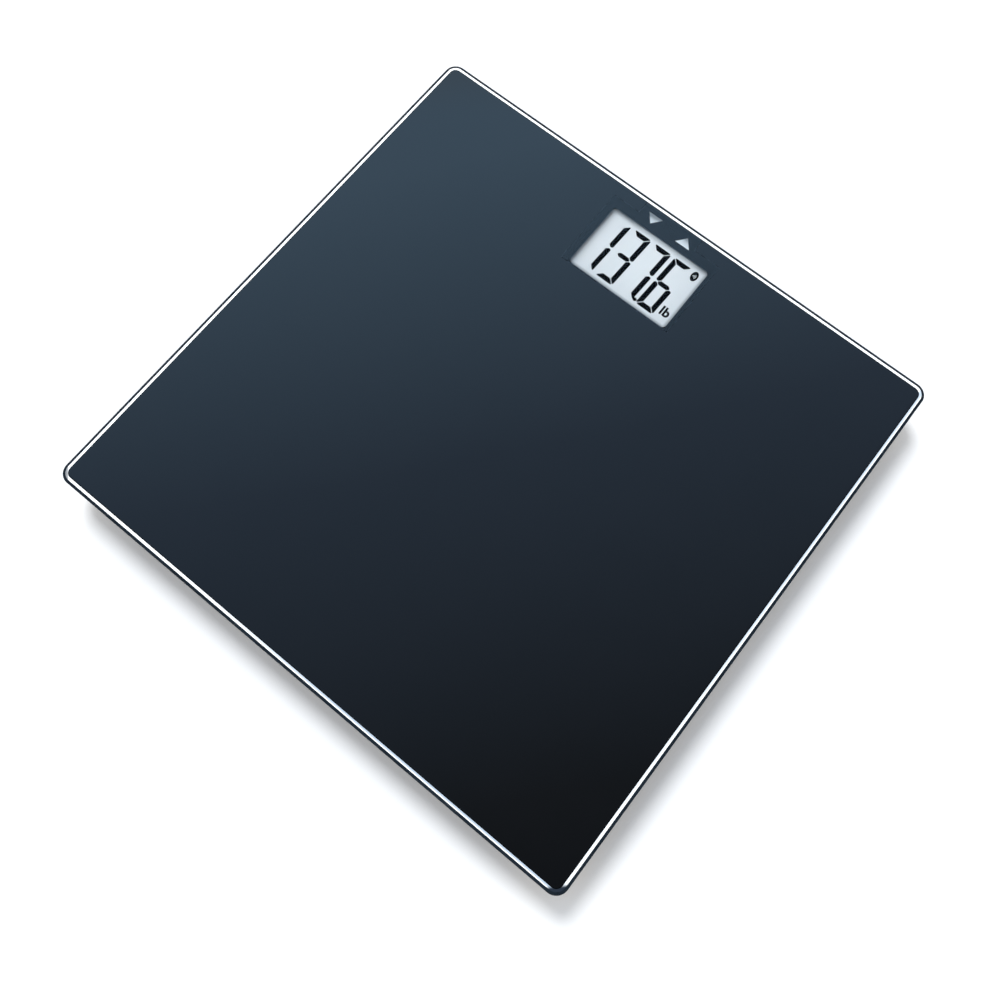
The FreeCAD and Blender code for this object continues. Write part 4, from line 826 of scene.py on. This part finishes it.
def batteryFinish(node):
    # a printed jacket with a copper band at the nub's end, and bare steel at both ends
    low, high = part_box(node)
    length = float(high[1] - low[1])
    nubAhead = node != "battery_2"          # the middle one lies the other way round
    finish = Finish("jacket" + node[-1])
    x, y, z = finish.axes()
    if nubAhead:
        along = finish.math("SUBTRACT", y, float(low[1]))
    else:
        along = finish.math("SUBTRACT", float(high[1]), y)
    steel = finish.math("SUBTRACT", 1.0, finish.between(along, 0.7 * mm, length - 1.6 * mm))
    copper = finish.math("GREATER_THAN", along, length - 13 * mm)
    line = finish.between(along, length - 13.6 * mm, length - 13.1 * mm)
    scuff = finish.noise(2 * mm, 5, 0.65)
    jacket = finish.blend(finish.range(scuff, 0.3, 0.7), rgb(22, 24, 28), rgb(32, 34, 39))
    band = finish.blend(finish.range(scuff, 0.3, 0.7), rgb(186, 116, 66), rgb(204, 136, 82))
    colour = finish.blend(copper, jacket, band)
    colour = finish.blend(line, colour, rgb(210, 212, 214))
    finish.colour(finish.blend(steel, colour, rgb(190, 190, 188)))
    metal = finish.math("MAXIMUM", finish.math("MULTIPLY", copper, 0.6), steel)
    finish.link(metal, finish.shader.inputs["Metallic"])
    finish.rough(finish.range(scuff, 0.3, 0.7, (0.24, 0.36)))
    finish.bump(scuff, 0.006 * mm)
    return finish.material


blackCase = grained(
    "housingPlastic", rgb(24, 25, 27), rgb(30, 31, 33), 9 * mm, 0.28 * mm, 0.016 * mm, (0.46, 0.62))
for node in ("housing_frame", "housing_cover", "lcd_holder"):
    paint(node, blackCase)
paint("battery_door", grained(
    "doorPlastic", rgb(26, 27, 29), rgb(32, 33, 35), 7 * mm, 0.28 * mm, 0.018 * mm, (0.44, 0.6)))
keyPlastic = grained(
    "keyPlastic", rgb(52, 54, 58), rgb(60, 62, 66), 3 * mm, 0.22 * mm, 0.01 * mm, (0.38, 0.5))
plungerPlastic = grained(
    "plungerPlastic", rgb(206, 204, 198), rgb(216, 214, 208), 2 * mm, 0.15 * mm, 0.004 * mm, (0.4, 0.52))
for key in ("down", "up", "unit"):
    paint(key + "_key", keyPlastic)
    paint(key + "_plunger", plungerPlastic)
paint("key_switches", grained(
    "switchBody", rgb(20, 21, 23), rgb(34, 35, 38), 1.6 * mm, 0.2 * mm, 0.008 * mm, (0.4, 0.55)))
paint("zebra_strip", stripedRubber())
paint("main_pcb", circuitBoardFinish())
chipResin = grained(
    "chipResin", rgb(22, 23, 25), rgb(30, 31, 33), 2 * mm, 0.12 * mm, 0.01 * mm, (0.55, 0.7))
paint("controller_chip", chipResin)
paint("smd_parts", grained(
    "smallParts", rgb(150, 124, 92), rgb(176, 150, 116), 0.9 * mm, 0.15 * mm, 0.006 * mm, (0.35, 0.5)))
paint("radio_module", steelFinish(
    "moduleMetal", rgb(200, 202, 204), rgb(176, 178, 180), (0.2, 1, 1), (0.22, 0.36)))
paint("rating_label", labelFinish())
whiteTape = grained(
    "foamTape", rgb(214, 214, 208), rgb(228, 228, 222), 3 * mm, 0.4 * mm, 0.05 * mm, (0.7, 0.85))
for node in ("housing_adhesive", "foot_adhesives"):
    paint(node, whiteTape)
screwSteel = steelFinish("screwSteel", rgb(196, 198, 200), rgb(160, 162, 165), (1, 1, 0.3), (0.2, 0.34))
for node in ("cover_screws", "pcb_screws"):
    paint(node, screwSteel)
for number in ("1", "2", "3"):
    paint("battery_" + number, batteryFinish("battery_" + number))
contactMetal = steelFinish(
    "contactMetal", rgb(214, 212, 204), rgb(188, 186, 178), (1, 0.3, 1), (0.16, 0.28))
for node in ("battery_springs", "battery_plates"):
    paint(node, contactMetal)

feet = {
    "corners": ("front_left", "front_right", "rear_left", "rear_right"),
    "cup": (rgb(28, 29, 31), rgb(35, 36, 38)),
    "rubber": (rgb(44, 45, 47), rgb(54, 55, 57)),
}
cupPlastic = grained("cupPlastic", *feet["cup"], 6 * mm, 0.25 * mm, 0.014 * mm, (0.45, 0.6))
footRubber = grained("footRubber", *feet["rubber"], 2.5 * mm, 0.35 * mm, 0.03 * mm, (0.68, 0.86))
cellSteel = steelFinish("cellSteel", rgb(196, 194, 188), rgb(164, 162, 156), (0.15, 1, 1), (0.26, 0.42))
ductPlastic = grained(
    "ductPlastic", rgb(26, 27, 29), rgb(33, 34, 36), 10 * mm, 0.3 * mm, 0.016 * mm, (0.5, 0.66))
leadJacket = grained(
    "leadJacket", rgb(176, 34, 34), rgb(192, 44, 42), 2 * mm, 0.2 * mm, 0.006 * mm, (0.34, 0.46))
for corner in feet["corners"]:
    paint("foot_housing_" + corner, blackCase)
    paint("foot_cup_" + corner, cupPlastic)
    paint("foot_pad_" + corner, footRubber)
    paint("load_cell_" + corner, cellSteel)
    paint("lead_" + corner, leadJacket)
    paint("cable_duct_" + corner, ductPlastic)
paint("strain_gauges", grained(
    "gaugeResin", rgb(214, 208, 190), rgb(228, 222, 206), 1.2 * mm, 0.2 * mm, 0.02 * mm, (0.3, 0.45)))
print("housings, feet and small parts finished")
